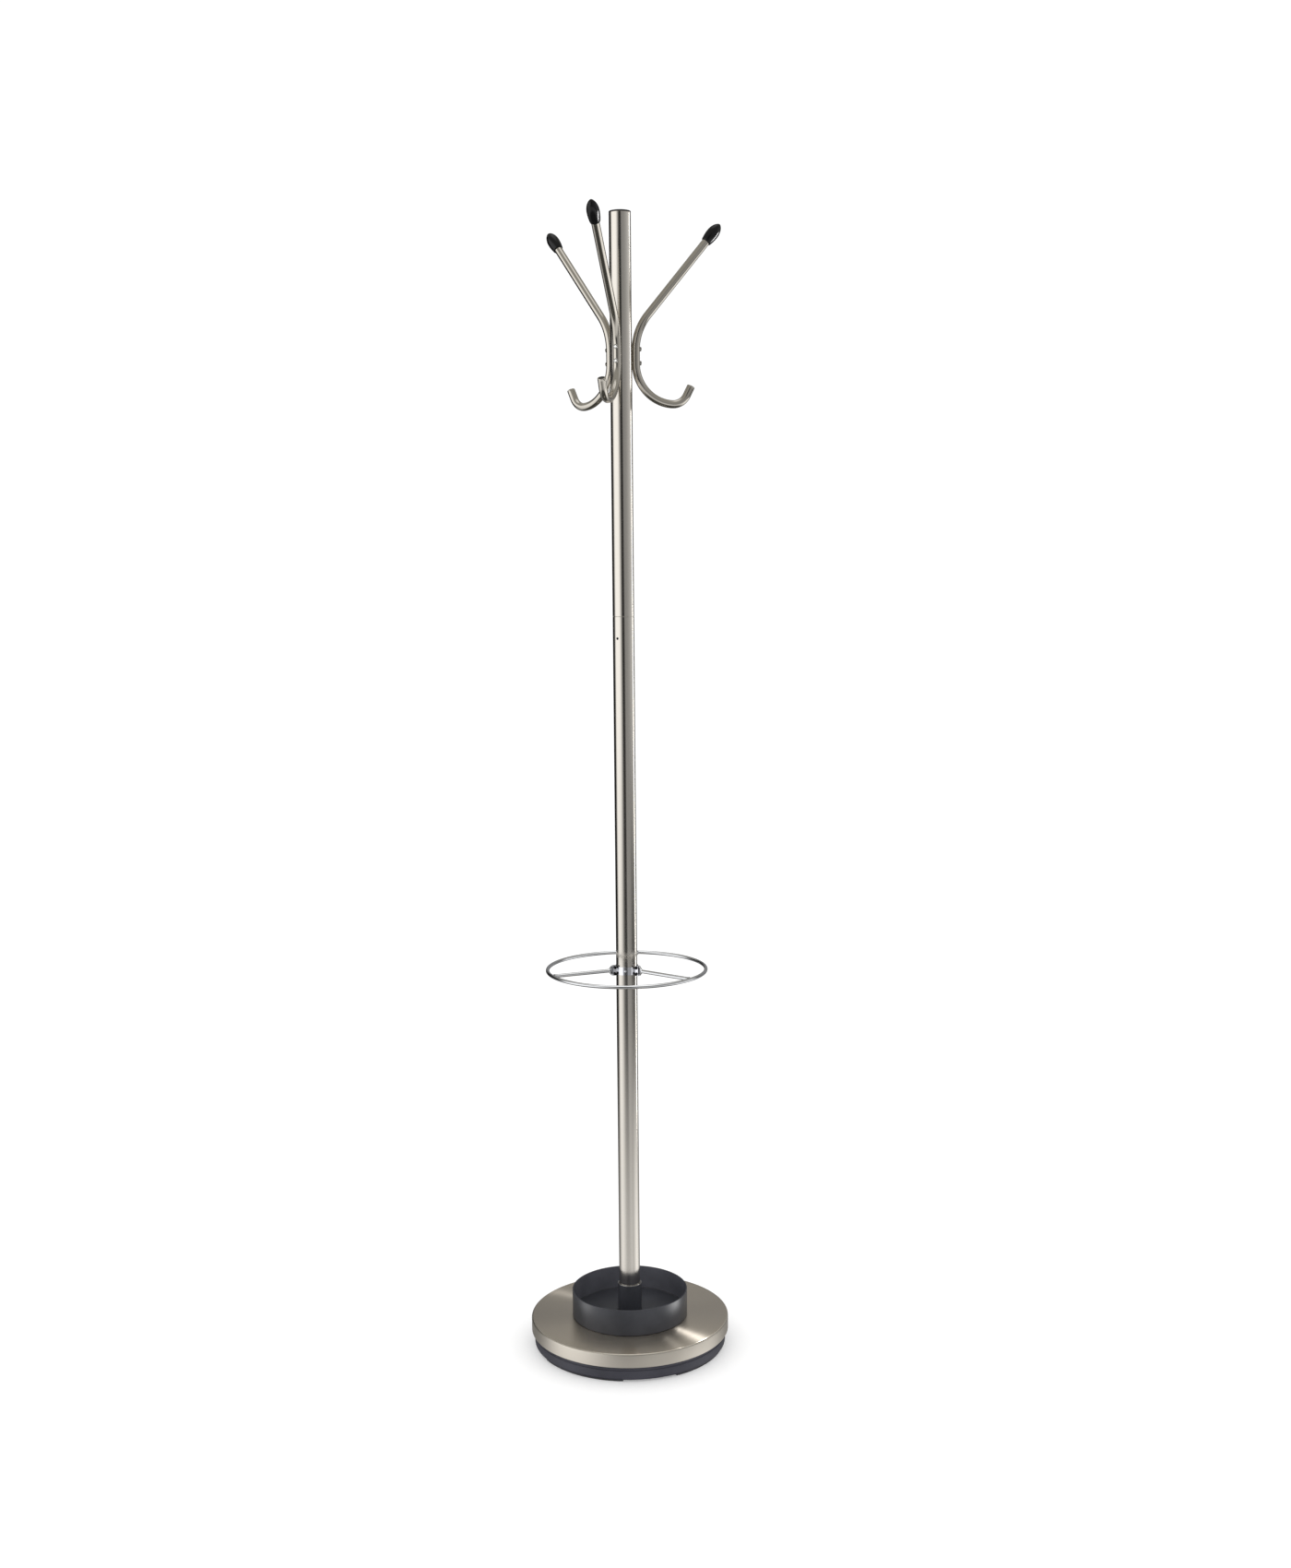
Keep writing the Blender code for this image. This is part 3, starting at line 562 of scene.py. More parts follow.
def build_tubes(material):
    for name in ("lower_tube", "middle_tube", "upper_tube"):
        low, high = span(name)
        radius, bore = high.x, high.x - POLE_WALL
        corners = [(bore, low.z, 0.2), (radius, low.z, 0.35), (radius, high.z, 0.35), (bore, high.z, 0.2)]
        made = close(name.replace("_tube", "_pole_tube"), lathe_mesh(rounded(corners, 3), 144), material)
        if name == "middle_tube":
            hole = lathe_mesh([(0.0, 10.0), (SET_SCREW_HOLE, 10.0), (SET_SCREW_HOLE, 20.0), (0.0, 20.0)], 32)
            place = outward(SET_SCREW_AZIMUTH, SET_SCREW_HEIGHT)
            subtract(made, [close("hole_tool", hole, material, place=place)])
        radial_normals(made.data, radius)
        settle(made, "stand", "brushed_steel", name)


def build_top_cap(material):
    """A shallow dome over the pole's end, with a spigot that goes down into the bore."""
    low, high = span("top_cap")
    radius, bore = high.x, high.x - POLE_WALL - 0.4
    rim = span("upper_tube")[1].z + GAP
    fall = (high.z - rim) * 0.45
    reaches = [radius * 0.955 * i / 11 for i in range(12)]
    dome = [(reach, high.z - fall * (reach / radius) ** 2) for reach in reaches]
    edge = dome[-1][1]
    outline = [*dome, (radius - 0.25, edge - 0.25), (radius, edge - 0.6), (radius, rim + 0.15),
               (radius - 0.15, rim), (bore, rim), (bore, low.z + 1.0), (bore - 1.0, low.z), (0.0, low.z)]
    cap = close("pole_cap", lathe_mesh(outline, 128), material, 50.0)
    settle(cap, "stand", "gloss_black", "top_cap")


# ---- hooks -----------------------------------------------------------------------------
def hook_path():
    """(reach, height) points along the bent rod's centreline from the tip to the lip."""
    lean = math.radians(HOOK_LEAN)
    back = span("upper_tube")[1].x + GAP + HOOK_ROD_RADIUS
    tangent = HOOK_KNEE_RADIUS * math.tan(lean / 2)
    run = (HOOK_TIP_REACH - back) / math.sin(lean) - HOOK_TIP_LENGTH / 2 + HOOK_TIP_GRIP
    start = Vector((back + run * math.sin(lean), HOOK_KNEE_HEIGHT + run * math.cos(lean)))
    knee_centre = (back + HOOK_KNEE_RADIUS, HOOK_KNEE_HEIGHT - tangent)
    knee = arc(knee_centre, HOOK_KNEE_RADIUS, 180.0 - HOOK_LEAN, 180.0, 28)
    upper = [tuple(start.lerp(Vector(knee[0]), i / 24)) for i in range(24)]
    bowl_end = 180.0 + HOOK_BOWL_SWEEP
    bowl = arc((back + HOOK_BOWL_RADIUS, HOOK_BACK_BOTTOM), HOOK_BOWL_RADIUS, 180.0, bowl_end, 44)
    straight = [(back, knee[-1][1] + (bowl[0][1] - knee[-1][1]) * i / 4) for i in range(1, 4)]
    turn = math.radians(HOOK_BOWL_SWEEP)
    x, z = bowl[-1]
    lip_centre = (x + HOOK_LIP_RADIUS * math.cos(turn), z + HOOK_LIP_RADIUS * math.sin(turn))
    lip = arc(lip_centre, HOOK_LIP_RADIUS, bowl_end, bowl_end + HOOK_LIP_SWEEP, 24)
    rise = math.radians(HOOK_BOWL_SWEEP - 90.0 + HOOK_LIP_SWEEP)
    x, z = lip[-1]
    steps = [HOOK_LIP_STRAIGHT * i / 4 for i in range(1, 5)]
    end = [(x + step * math.cos(rise), z + step * math.sin(rise)) for step in steps]
    return [Vector(p) for p in [*upper, *knee, *straight, *bowl, *lip[1:], *end]], rise


def hook_mesh(points):
    """The swept rod, its lip end bored for the plug, with a UV map that runs along it."""
    sides = 40
    bm = bmesh.new()
    layer = bm.loops.layers.uv.new("along")
    across = Vector((0.0, 1.0, 0.0))
    stations = []
    travelled = 0.0
    for i, point in enumerate(points):
        before, after = points[max(i - 1, 0)], points[min(i + 1, len(points) - 1)]
        direction = (after - before).normalized()
        if i:
            travelled += (point - points[i - 1]).length
        stations.append((point, direction, travelled))
    rings, lengths = [], []

    def add(point, direction, shift, radius, length):
        centre = Vector((point.x + direction.x * shift, 0.0, point.y + direction.y * shift))
        side = Vector((direction.y, 0.0, -direction.x))
        rings.append(ring_section(bm, centre, side, across, circle(radius, sides)))
        lengths.append(length)

    first, last = stations[0], stations[-1]
    add(*first[:2], 0.0, HOOK_ROD_RADIUS - 0.5, 0.0)
    for point, direction, length in stations[:-1]:
        add(point, direction, 0.5 if length == 0.0 else 0.0, HOOK_ROD_RADIUS, length)
    for shift, radius, further in ((-0.6, HOOK_ROD_RADIUS, -0.6), (-0.18, HOOK_ROD_RADIUS - 0.18, -0.2),
                                   (0.0, HOOK_ROD_RADIUS - 0.6, 0.0), (0.0, HOOK_POCKET + 0.25, 1.0),
                                   (-0.25, HOOK_POCKET, 1.3),
                                   (-HOOK_POCKET_DEPTH, HOOK_POCKET, HOOK_POCKET_DEPTH + 1.0)):
        add(*last[:2], shift, radius, last[2] + further)
    for (before, after), (start, end) in zip(zip(rings, rings[1:]), zip(lengths, lengths[1:])):
        for k in range(sides):
            follower = (k + 1) % sides
            face = bm.faces.new((before[k], before[follower], after[follower], after[k]))
            spots = ((start, k), (start, k + 1), (end, k + 1), (end, k))
            for loop, (length, step) in zip(face.loops, spots):
                loop[layer].uv = (length * MM, step / sides)
    bm.faces.new(list(reversed(rings[0])))
    bm.faces.new(rings[-1])
    return bm


def tip_outline():
    """An olive drawn out to a small blunt end, with a socket for the rod."""
    half, socket = HOOK_TIP_LENGTH / 2, HOOK_ROD_RADIUS + GAP
    start = math.asin(HOOK_TIP_BASE / HOOK_TIP_RADIUS) - math.pi / 2
    base = half + half * math.sin(start)
    widest = base + (HOOK_TIP_LENGTH - base) * 0.46
    bottom = base + HOOK_TIP_SOCKET
    outline = [(0.0, bottom), (socket, bottom), (socket, base + 0.3), (socket + 0.3, base + 0.02),
               (HOOK_TIP_BASE - 0.4, base), (HOOK_TIP_BASE - 0.1, base + 0.3)]
    for i in range(1, 17):
        short = 1.0 - i / 16
        radius = HOOK_TIP_RADIUS - (HOOK_TIP_RADIUS - HOOK_TIP_BASE) * short ** 2
        outline.append((radius, widest - (widest - base) * short))
    for i in range(1, 32):
        reach = math.sin(math.pi / 2 * i / 32)
        radius = HOOK_TIP_RADIUS * (1.0 - reach ** 2.1) ** 0.66
        outline.append((radius, widest + (HOOK_TIP_LENGTH - widest) * reach))
    return [*outline, (0.0, HOOK_TIP_LENGTH)]


def pan_screw_mesh():
    """A pan head with its shank, along local Z."""
    radius, height, seat = HOOK_SCREW_HEAD, HOOK_SCREW_HEAD_HEIGHT, HOOK_SCREW_SEAT
    shank, end = HOOK_SCREW_SHANK, HOOK_SCREW_END
    angles = [math.radians(angle) for angle in range(0, 90, 10)]
    dome = [(radius * math.cos(a), seat + height * 0.35 + height * 0.65 * math.sin(a)) for a in angles]
    outline = [(0.0, end), (shank - 0.3, end), (shank, end + 0.4), (shank, seat), (radius - 0.2, seat),
               (radius, seat + 0.2), *dome, (0.0, seat + height)]
    return lathe_mesh(outline, 48)


def cross_mesh():
    """A cross-shaped cutter for a pan screw's recess, along local Z."""
    top = HOOK_SCREW_SEAT + HOOK_SCREW_HEAD_HEIGHT
    w, r = HOOK_SCREW_HEAD * 0.16, HOOK_SCREW_HEAD * 0.55
    outline = [(w, w), (w, r), (-w, r), (-w, w), (-r, w), (-r, -w),
               (-w, -w), (-w, -r), (w, -r), (w, -w), (r, -w), (r, w)]
    return prism_mesh(outline, top - 1.2, top + 1.0)


def build_hooks(steel, black, zinc):
    points, rise = hook_path()
    lean = math.radians(HOOK_LEAN)
    half = HOOK_TIP_LENGTH / 2
    back = span("upper_tube")[1].x + GAP + HOOK_ROD_RADIUS
    tip_out = HOOK_TIP_REACH - math.sin(lean) * half
    tip_up = HOOK_KNEE_HEIGHT + (HOOK_TIP_REACH - back) / math.tan(lean) - math.cos(lean) * half
    tip_place = Matrix.Translation((tip_out, 0.0, tip_up)) @ Matrix.Rotation(lean, 4, "Y")
    end = points[-1]
    plug_place = Matrix.Translation((end.x, 0.0, end.y)) @ Matrix.Rotation(math.radians(90) - rise, 4, "Y")
    stub = HOOK_POCKET - 0.2
    plug = [(0.0, -5.5), (stub, -5.5), (stub, -0.2), (stub - 0.15, 0.2), (stub - 0.6, 0.42),
            (stub * 0.5, 0.54), (0.0, 0.58)]
    for side, azimuth in HOOK_AZIMUTHS.items():
        turn = heading(azimuth)
        # The rods wear the darkened steel, which is painted shade.
        arm = close(f"hook_rod_{side}", hook_mesh(points), steel, 50.0, turn)
        settle(arm, "stand", "brushed_steel", f"hook_{side}")
        tip = close(f"tip_olive_{side}", lathe_mesh(tip_outline(), 64), black, 50.0, turn @ tip_place)
        settle(tip, "stand", "gloss_black", f"hook_tip_{side}")
        stopper = close(f"lip_plug_{side}", lathe_mesh(plug, 40), black, 50.0, turn @ plug_place)
        settle(stopper, "stand", "gloss_black", f"hook_plug_{side}")
        for level, height in HOOK_SCREW_HEIGHTS.items():
            place = outward(azimuth, height)
            screw = close(f"pan_screw_{side}_{level}", pan_screw_mesh(), zinc, 35.0, place)
            subtract(screw, [close("cross_tool", cross_mesh(), zinc, 35.0, place)], 35.0)
            settle(screw, "stand", "zinc_fastener", f"hook_screw_{side}_{level}")


# ---- drip tray -------------------------------------------------------------------------
def build_tray(coat, inside, bare):
    low, high = span("drip_tray")
    radius, rim, bottom = high.x, high.z, low.z
    wall, step = radius - TRAY_WALL, radius - TRAY_WALL - 2.0
    floor = span("base_cover")[1].z + TRAY_FLOOR_RISE
    under = floor - TRAY_FLOOR_THICKNESS
    corners = [(TRAY_BORE, under, 0.2), (step, under, 0.6), (step, bottom, 0.3), (radius, bottom, 0.8),
               (radius, rim, 0.75), (wall, rim, 0.75), (wall, floor, 1.6), (TRAY_BORE, floor, 0.2)]
    pan = close("tray_pan", lathe_mesh(rounded(corners, 6), 256), coat)
    # The inner wall above the floor takes the lighter inside coat, which is painted light falling into the
    # tray.
    pan.data.materials.append(inside)
    for polygon in pan.data.polygons:
        painted_light_wall = polygon.normal.dot(polygon.center.normalized()) < -0.3
        if painted_light_wall and polygon.center.z > (floor + 1.0) * MM:
            polygon.material_index = 1
    settle(pan, "tray", "satin_charcoal", "drip_tray")

    low, high = span("tray_tube")
    flange, bore, outside = low.z + TRAY_FLANGE, TRAY_TUBE_BORE, TRAY_TUBE_RADIUS
    corners = [(bore, low.z, 0.2), (high.x, low.z, 0.4), (high.x, flange, 0.4), (outside, flange, 0.2),
               (outside, high.z, 0.5), (bore, high.z, 0.5)]
    tube = close("tray_centre_tube", lathe_mesh(rounded(corners, 5), 144), coat)
    tube.data.materials.append(bare)
    for polygon in tube.data.polygons:
        if polygon.center.z > (high.z - 0.55) * MM:
            polygon.material_index = 1
    settle(tube, "tray", "satin_charcoal", "tray_tube")


# ---- umbrella ring ---------------------------------------------------------------------
def ring_middle():
    """The height of the ring's plane, and the radius of its wire."""
    low, high = span("umbrella_ring")
    return (low.z + high.z) / 2, (high.z - low.z) / 2


def torus_mesh(radius, wire):
    around = 256
    bm = bmesh.new()
    rings = []
    for i in range(around):
        angle = math.tau * i / around
        out = Vector((math.cos(angle), math.sin(angle), 0.0))
        rings.append(ring_section(bm, out * radius, out, Vector((0, 0, 1)), circle(wire, 32)))
    skin(bm, [*rings, rings[0]], cap=False)
    return bm


def spoke_mesh():
    """Round wire that a press has flattened into an upright tang at the collar."""
    height, wire = ring_middle()
    far = span("umbrella_ring")[1].x - wire - wire
    stations = [(SPOKE_INNER, 0.0, 0.6), (SPOKE_INNER + 0.5, 0.0, 1.0), (23.8, 0.0, 1.0), (24.8, 0.08, 1.0),
                (26.0, 0.3, 1.0), (27.4, 0.62, 1.0), (28.8, 0.88, 1.0), (SPOKE_ROUND_FROM, 1.0, 1.0)]
    run = far - 2.0 - SPOKE_ROUND_FROM
    stations += [(SPOKE_ROUND_FROM + run * i / 20, 1.0, 1.0) for i in range(1, 21)]
    stations += [(far - 1.0, 1.0, 1.08), (far - 0.3, 1.0, 1.22)]
    bm = bmesh.new()
    rings = []
    for out, blend, swell in stations:
        smooth = blend * blend * (3 - 2 * blend)
        half_wide = (TANG_HALF + (wire - TANG_HALF) * smooth) * swell
        half_tall = EAR_HALF - 0.1 + (wire - EAR_HALF + 0.1) * smooth
        if blend == 1.0:
            half_tall *= swell
        power = 2.0 / (7.0 - 5.0 * smooth)
        section = []
        for c, s in circle(1.0, 48):
            section.append((half_wide * math.copysign(abs(c) ** power, c),
                            half_tall * math.copysign(abs(s) ** power, s)))
        centre = Vector((out, 0.0, height))
        rings.append(ring_section(bm, centre, Vector((0, 1, 0)), Vector((0, 0, 1)), section))
    skin(bm, rings)
    return bm


def collar_outline():
    """A third of the collar from above: a bent strip whose ears stand out at both ends."""
    inner = span("upper_tube")[1].x + GAP
    outer = inner + COLLAR_SHEET
    face, back = TANG_HALF + GAP, TANG_HALF + GAP + COLLAR_SHEET
    ear = math.radians(COLLAR_HALF_ANGLE)

    def at_ear(out, offset):
        return (out * math.cos(ear) + offset * math.sin(ear), out * math.sin(ear) - offset * math.cos(ear))

    def half_angle(radius, offset):
        return COLLAR_HALF_ANGLE - math.degrees(math.asin(offset / radius))

    bend = 1.0
    outer_half = half_angle(outer + bend, back + bend)
    inner_half = half_angle(inner, face)
    turn = math.radians(outer_half)
    bend_centre = ((outer + bend) * math.cos(turn), (outer + bend) * math.sin(turn))
    start = outer_half + 180.0
    finish = start - (start - (COLLAR_HALF_ANGLE + 90.0)) % 360.0
    one_end = [*arc(bend_centre, bend, start, finish, 6),
               at_ear(EAR_OUTER - 0.6, back), at_ear(EAR_OUTER - 0.1, back - 0.25),
               at_ear(EAR_OUTER, face + 0.2), at_ear(EAR_OUTER - 0.2, face)]
    other_end = [(x, -y) for x, y in reversed(one_end)]
    return [*arc((0, 0), outer, -outer_half, outer_half, 36)[1:-1], *one_end,
            *arc((0, 0), inner, inner_half, -inner_half, 36), *other_end]


def clamp_place(azimuth, up, height):
    """Local +Z along the clamp screw, out of its head."""
    return (Matrix.Translation((0, 0, height + up)) @ heading(azimuth) @ Matrix.Translation((CLAMP_OUT, 0, 0))
            @ Matrix.Rotation(math.radians(-90), 4, "X"))


def trim_tools(height, material):
    """Cutters that bring the band down to its height between the taller ears."""
    tools = []
    for low, high in ((COLLAR_HALF, EAR_HALF + 2.0), (-EAR_HALF - 2.0, -COLLAR_HALF)):
        low, high = height + low, height + high
        outline = [(15.0, low), (EAR_INNER, low), (EAR_INNER, high), (15.0, high)]
        tools.append(close("trim_tool", lathe_mesh(outline, 96), material))
    return tools


def drill_tools(azimuth, height, material):
    """Cutters for the holes of a spoke's two clamp screws."""
    tools = []
    for up in (CLAMP_UP, -CLAMP_UP):
        drill = lathe_mesh([(0.0, -8.0), (CLAMP_HOLE, -8.0), (CLAMP_HOLE, 8.0), (0.0, 8.0)], 24)
        tools.append(close("drill_tool", drill, material, place=clamp_place(azimuth, up, height)))
    return tools


def nut_mesh():
    """A hexagon nut with chamfered corners, along local Z under the far ear."""
    bottom, top = -CLAMP_SEAT - NUT_HEIGHT, -CLAMP_SEAT
    chamfer = 0.3
    flat = NUT_RADIUS * math.cos(math.radians(30))
    levels = ((bottom, flat * 0.98), (bottom + chamfer, NUT_RADIUS),
              (top - chamfer, NUT_RADIUS), (top, flat * 0.98))
    bm = bmesh.new()
    rings = []
    for z, corner in levels:
        ring = []
        for k in range(48):
            degrees = 360.0 * k / 48
            angle = math.radians(degrees)
            reach = min(flat / math.cos(math.radians(degrees % 60.0 - 30.0)), corner)
            ring.append(bm.verts.new((reach * math.cos(angle), reach * math.sin(angle), z)))
        rings.append(ring)
    for z in (top, bottom):
        rings.append([bm.verts.new((x, y, z)) for x, y in circle(NUT_BORE, 48)])
    skin(bm, [*rings, rings[0]], cap=False)
    return bm


def build_clamps(side, height, dark):
    """A spoke's two socket-head screws through the ears and the tang, with their nuts."""
    end, top = -CLAMP_SEAT - 2.8, CLAMP_SEAT + CLAMP_HEAD_HEIGHT
    outline = rounded([(0.0, end, 0), (CLAMP_SHANK, end, 0.3), (CLAMP_SHANK, CLAMP_SEAT, 0),
                       (CLAMP_HEAD, CLAMP_SEAT, 0.15), (CLAMP_HEAD, top, 0.4), (0.0, top, 0)], 4)
    for level, up in (("upper", CLAMP_UP), ("lower", -CLAMP_UP)):
        place = clamp_place(SPOKE_AZIMUTHS[side], up, height)
        screw = close(f"clamp_screw_{side}_{level}", lathe_mesh(outline, 40), dark, 40.0, place)
        socket = prism_mesh(circle(CLAMP_SOCKET, 6), CLAMP_SEAT + 0.9, CLAMP_SEAT + 4.0)
        subtract(screw, [close("hex_tool", socket, dark, place=place)], 35.0)
        settle(screw, "ring", "dark_fastener", f"collar_screw_{side}_{level}")
        nut = close(f"clamp_nut_{side}_{level}", nut_mesh(), dark, 25.0, place)
        settle(nut, "ring", "dark_fastener", f"collar_nut_{side}_{level}")


def build_pip(plate, azimuth, height):
    """The small dimple that a press has raised at the middle of the front plate."""
    face = span("upper_tube")[1].x + GAP + COLLAR_SHEET
    outline = [(0.0, face - 0.3), (1.7, face - 0.3), (1.7, face - 0.02), (1.4, face + 0.25),
               (0.9, face + 0.5), (0.4, face + 0.62), (0.0, face + 0.65)]
    pip = close("collar_pip", lathe_mesh(outline, 32), plate, 60.0, outward(azimuth, height))
    settle(pip, "ring", "chrome")


def build_ring(bright, plate, dark):
    height, wire = ring_middle()
    torus = torus_mesh(span("umbrella_ring")[1].x - wire, wire)
    hoop = close("umbrella_hoop", torus, bright, 60.0, Matrix.Translation((0, 0, height)))
    settle(hoop, "ring", "chrome", "umbrella_ring")
    azimuths = list(SPOKE_AZIMUTHS.values())
    thirds = []
    for i, azimuth in enumerate(azimuths):
        strip = prism_mesh(collar_outline(), height - EAR_HALF, height + EAR_HALF)
        turn = heading(azimuth + COLLAR_HALF_ANGLE)
        thirds.append(close(f"collar_plate_{i + 1}", strip, plate, 40.0, turn))
    for i, (side, azimuth) in enumerate(SPOKE_AZIMUTHS.items()):
        tools = trim_tools(height, bright)
        for spoke_azimuth in (azimuth, azimuths[(i + 1) % len(azimuths)]):
            tools += drill_tools(spoke_azimuth, height, bright)
        subtract(thirds[i], tools)
        soften(thirds[i], 0.22, 3, 60.0)
        settle(thirds[i], "ring", "chrome", f"collar_segment_{i + 1}")
        if i == 0:
            build_pip(plate, azimuth + COLLAR_HALF_ANGLE, height)
        spoke = close(f"spoke_wire_{side}", spoke_mesh(), bright, 50.0, heading(azimuth))
        subtract(spoke, trim_tools(height, bright) + drill_tools(azimuth, height, bright), 50.0)
        settle(spoke, "ring", "chrome", f"ring_spoke_{side}")
        build_clamps(side, height, dark)


# ---- inner pieces that keep their CAD shape --------------------------------------------
def dress_inner(name, material):
    obj = frame["nodes"][name]
    for held in obj.material_slots:
        held.material = material


def build_all():
    disc = brushed_steel("brushed_steel_disc", "disc", (0.88, 0.80, 0.69), 0.21, 1.0, 0.02)
    rim = brushed_steel("brushed_steel_rim", "disc", (0.80, 0.745, 0.66), 0.40, 0.3, 0.02)
    tube = brushed_steel("brushed_steel_tube", "tube", (0.80, 0.758, 0.695), 0.13, 0.4, 0.03)
    # The hooks' steel is the tube's brushed steel made darker: painted shade for the darker reflections along
    # the rods.
    rod = brushed_steel("brushed_steel_rod_painted_shade", "rod", (0.70, 0.66, 0.59), 0.13, 0.1, 0.015)
    bright = chrome("chrome_wire", (0.85, 0.86, 0.88), 0.06)
    plate = chrome("chrome_plate", (0.90, 0.91, 0.96), 0.16)
    coat = satin_coat("satin_charcoal", (0.035, 0.037, 0.045), 0.36)
    # The tray's inner wall gets the same charcoal coat made lighter: painted light for the light falling into
    # the tray, not a different finish.
    inside = satin_coat("satin_charcoal_painted_light_inside", (0.084, 0.086, 0.102), 0.36)
    plastic = satin_coat("shell_plastic", (0.034, 0.034, 0.048), 0.46, grain=1300.0)
    rubber = satin_coat("foot_rubber", (0.040, 0.040, 0.045), 0.7, grain=1800.0)
    black = gloss_black()
    zinc = fastener("zinc_fastener", (0.80, 0.79, 0.76), 0.2)
    dark = fastener("dark_fastener", (0.035, 0.035, 0.038), 0.35)
    bare = fastener("bare_edge", (0.50, 0.50, 0.50), 0.25)
    core = satin_coat("core_plastic", (0.28, 0.28, 0.28), 0.5)
    iron = cast_iron()
    build_cover(disc, rim)
    build_shell(plastic)
    build_pads(rubber)
    build_tubes(tube)
    build_top_cap(black)
    build_hooks(rod, black, zinc)
    build_tray(coat, inside, bare)
    build_ring(bright, plate, dark)
    for name, material in (("base_weight", iron), ("centre_bolt", zinc), ("bolt_washer", zinc),
                           ("pole_insert", zinc), ("joint_sleeve_lower", zinc), ("joint_sleeve_upper", zinc),
                           ("joint_set_screw", dark), ("hook_core", core)):
        dress_inner(name, material)


# ---- stage -----------------------------------------------------------------------------
def build_floor():
    bm = bmesh.new()
    bmesh.ops.create_circle(bm, cap_ends=True, segments=96, radius=14000.0)
    made, tree, shader = new_material("pale_floor", (0.80, 0.80, 0.80), 0.9)
    shader.inputs["Emission Color"].default_value = (1.0, 1.0, 1.0, 1.0)
    shader.inputs["Emission Strength"].default_value = 0.27
    shader.inputs["Specular IOR Level"].default_value = 0.0
    floor = close("floor", bm, made, place=Matrix.Translation((0, 0, -0.2)))
    floor.visible_glossy = False
    floor.visible_shadow = False


# What surrounds the stand, as brightness over azimuth, for three bands of height.
LEVEL_BAND = [(-180, 0.24), (-164, 0.12), (-152, 0.02), (-114, 0.02), (-106, 0.22), (-98, 0.85),
              (-86, 1.16), (-58, 1.16), (-44, 1.14), (-33, 0.80), (-22, 0.36), (-13, 0.08),
              (-5, 0.02), (5, 0.03), (13, 0.23), (20, 0.28), (36, 0.29), (56, 0.36), (72, 0.44),
              (84, 0.50), (94, 0.60), (104, 0.64), (118, 0.12), (134, 0.20), (150, 0.24),
              (180, 0.24)]
LOWER_BAND = [(-180, 0.24), (-164, 0.12), (-152, 0.02), (-112, 0.02), (-104, 0.20), (-96, 0.78),
              (-84, 1.06), (-66, 1.02), (-50, 0.80), (-36, 0.40), (-24, 0.13), (-12, 0.03),
              (0, 0.02), (8, 0.10), (14, 0.29), (34, 0.27), (50, 0.24), (60, 0.15), (70, 0.04),
              (88, 0.04), (98, 0.20), (106, 0.40), (118, 0.12), (134, 0.20), (150, 0.24),
              (180, 0.24)]
FLOOR_BAND = [(-180, 0.26), (-150, 0.22), (-138, 0.18), (-118, 0.30), (-104, 0.66), (-84, 0.95),
              (-62, 0.90), (-44, 0.76), (-28, 0.62), (-14, 0.60), (0, 0.60), (12, 0.64),
              (30, 0.70), (52, 0.62), (66, 0.88), (86, 1.15), (108, 1.05), (124, 0.55),
              (140, 0.26), (180, 0.26)]


def build_world():
    """A white studio: what shines is shaped by dark and bright bands, what is matt is lit evenly."""
    world = bpy.data.worlds.new("studio")
    bpy.context.scene.world = world
    world.use_nodes = True
    world.cycles.sampling_method = "NONE"
    tree = world.node_tree
    tree.nodes.clear()
    direction = node(tree, "ShaderNodeTexCoord").outputs["Generated"]
    parts = node(tree, "ShaderNodeSeparateXYZ", {0: direction})
    behind = maths(tree, "MULTIPLY", parts.outputs[1], -1.0)
    azimuth = maths(tree, "ARCTAN2", parts.outputs[0], behind)
    turn = map_range(tree, azimuth, -math.pi, math.pi, 0.0, 1.0)
    bands = []
    for band in (FLOOR_BAND, LOWER_BAND, LEVEL_BAND):
        bands.append(ramp(tree, turn, [((place + 180) / 360.0, value) for place, value in band]))
    up = parts.outputs[2]
    studio = mixed(tree, map_range(tree, up, -0.35, -0.25, 0.0, 1.0), bands[0], bands[1])
    studio = mixed(tree, map_range(tree, up, -0.20, -0.08, 0.0, 1.0), studio, bands[2])
    studio = mixed(tree, map_range(tree, up, 0.36, 0.54, 0.0, 1.0), studio, (0.33, 0.325, 0.305, 1.0))
    studio = mixed(tree, map_range(tree, up, 0.90, 0.97, 0.0, 1.0), studio, (1.0, 1.0, 1.0, 1.0))
    studio = mixed(tree, map_range(tree, up, -0.80, -0.62, 0.0, 1.0), (0.06, 0.06, 0.055, 1.0), studio)
    path = node(tree, "ShaderNodeLightPath")
    even = node(tree, "ShaderNodeBackground", {"Color": (1.0, 1.0, 1.0, 1.0), "Strength": 1.06})
    shaped = node(tree, "ShaderNodeBackground", {"Color": studio, "Strength": 1.0})
    links = {0: path.outputs["Is Glossy Ray"], 1: even.outputs[0], 2: shaped.outputs[0]}
    chosen = node(tree, "ShaderNodeMixShader", links)
    node(tree, "ShaderNodeOutputWorld", {"Surface": chosen.outputs[0]})


def area_light(name, place, turn, wide, tall, brightness, shown_in):
    """A light that only shows in the named pieces' reflections; at brightness 1 it is backdrop white."""
    data = bpy.data.lights.new(name, "AREA")
    data.shape = "RECTANGLE"
    data.size, data.size_y = wide, tall
    data.energy = brightness * math.pi * wide * tall
    light = bpy.data.objects.new(name, data)
    bpy.context.scene.collection.objects.link(light)
    light.location = place
    light.rotation_euler = turn
    light.visible_diffuse = False
    light.visible_camera = False
    light.light_linking.receiver_collection = bpy.data.collections.new(f"shown_by_{name}")
    for piece in bpy.data.objects:
        if piece.name.startswith(shown_in):
            light.light_linking.receiver_collection.objects.link(piece)


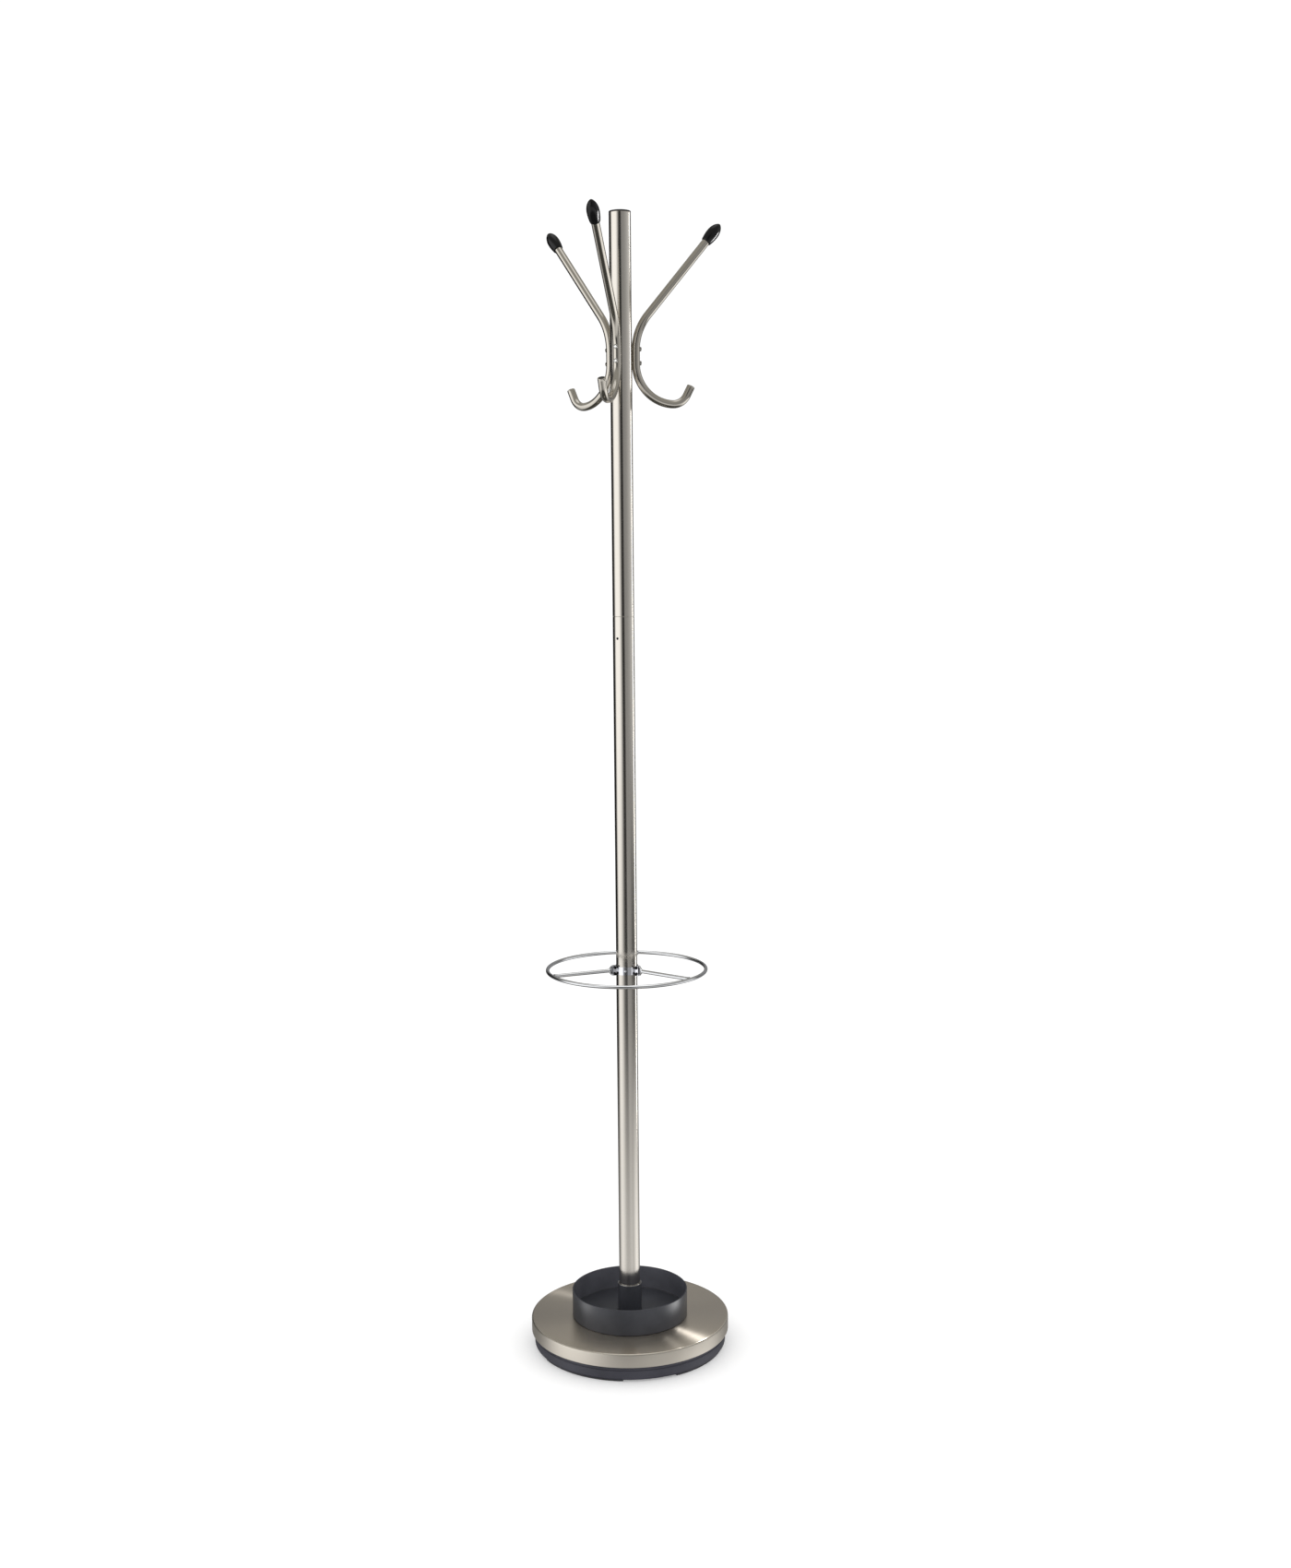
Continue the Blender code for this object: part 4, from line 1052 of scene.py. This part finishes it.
def soft_box(name, azimuth, distance, height, aim, wide, tall, brightness, *shown_in):
    """A soft box out at an azimuth, turned to face a height on the pole."""
    angle = math.radians(azimuth - 90.0)
    place = Vector((distance * math.cos(angle), distance * math.sin(angle), height))
    turn = (Vector((0.0, 0.0, aim)) - place).to_track_quat("-Z", "Y").to_euler()
    area_light(name, place, turn, wide, tall, brightness, shown_in)


def streak_strip(name, grain_azimuth, low, high, wide, brightness, *shown_in):
    """A thin strip whose glints on the turned disc all fall on one radius, seen from the camera."""
    eye = bpy.context.scene.camera.location.normalized()
    grain = math.radians(grain_azimuth)
    ends = []
    for tilt in (low, high):
        flat = Vector((math.sin(grain), -math.cos(grain))) * tilt - Vector((eye.x, eye.y))
        ends.append(Vector((flat.x, flat.y, math.sqrt(1.0 - flat.length_squared))) * 4.0)
    back = (ends[0] + ends[1]).normalized()
    along = (ends[1] - ends[0]).normalized()
    turn = Matrix((along, back.cross(along), back)).transposed().to_euler()
    length = (ends[1] - ends[0]).length
    area_light(name, (ends[0] + ends[1]) / 2, turn, length, wide, brightness, shown_in)


def build_lights():
    tubes = ("lower_pole", "middle_pole", "upper_pole")
    soft_box("strip_right", 116.0, 3.0, 1.3, 1.3, 0.46, 3.8, 3.2, *tubes)
    streak_strip("streak_strong", 50.0, 0.28, 0.60, 0.06, 44.0, "cover_disc")
    streak_strip("streak_faint", 32.0, 0.34, 0.60, 0.04, 13.0, "cover_disc")
    soft_box("tray_right", 96.0, 2.0, -0.5, 0.08, 0.9, 0.5, 8.0, "tray_pan")
    soft_box("tray_left", -92.0, 2.0, -0.5, 0.08, 0.9, 0.5, 3.0, "tray_pan")
    soft_box("plate_left", -52.0, 2.5, 0.0, 0.6, 1.4, 1.2, 0.45, "collar_plate", "collar_pip")
    soft_box("plate_right", 66.0, 2.5, 0.0, 0.6, 1.8, 1.2, 0.42, "collar_plate", "collar_pip")
    soft_box("wire_top", 0.0, 0.2, 3.0, 0.0, 3.4, 3.4, 0.55, "umbrella_hoop", "spoke_wire")
    soft_box("rod_right", 106.0, 2.2, 1.1, 1.6, 0.8, 0.9, 0.8, "hook_rod_front")
    soft_box("tip_right", 100.0, 2.2, 0.9, 1.6, 0.4, 1.2, 34.0, "tip_olive")
    soft_box("screw_front", -30.0, 2.5, 1.9, 1.5, 1.2, 1.2, 1.6, "pan_screw")


def build_camera():
    data = bpy.data.cameras.new("camera")
    camera = bpy.data.objects.new("camera", data)
    bpy.context.scene.collection.objects.link(camera)
    data.sensor_fit = "VERTICAL"
    data.sensor_height = 36.0
    data.lens = 36.0 * 1.1453
    data.clip_start = 0.05
    data.clip_end = 60.0
    camera.location = (0.0, -2.663, 1.190)
    pitch, roll, yaw = math.radians(-6.884), math.radians(-0.46), math.radians(0.658)
    aim = Matrix.Rotation(-yaw, 4, "Z") @ Matrix.Rotation(math.radians(90) + pitch, 4, "X")
    camera.rotation_euler = (aim @ Matrix.Rotation(roll, 4, "Z")).to_euler()
    bpy.context.scene.camera = camera


build_camera()
build_all()
build_floor()
build_world()
build_lights()
bpy.context.scene.view_settings.view_transform = "Standard"
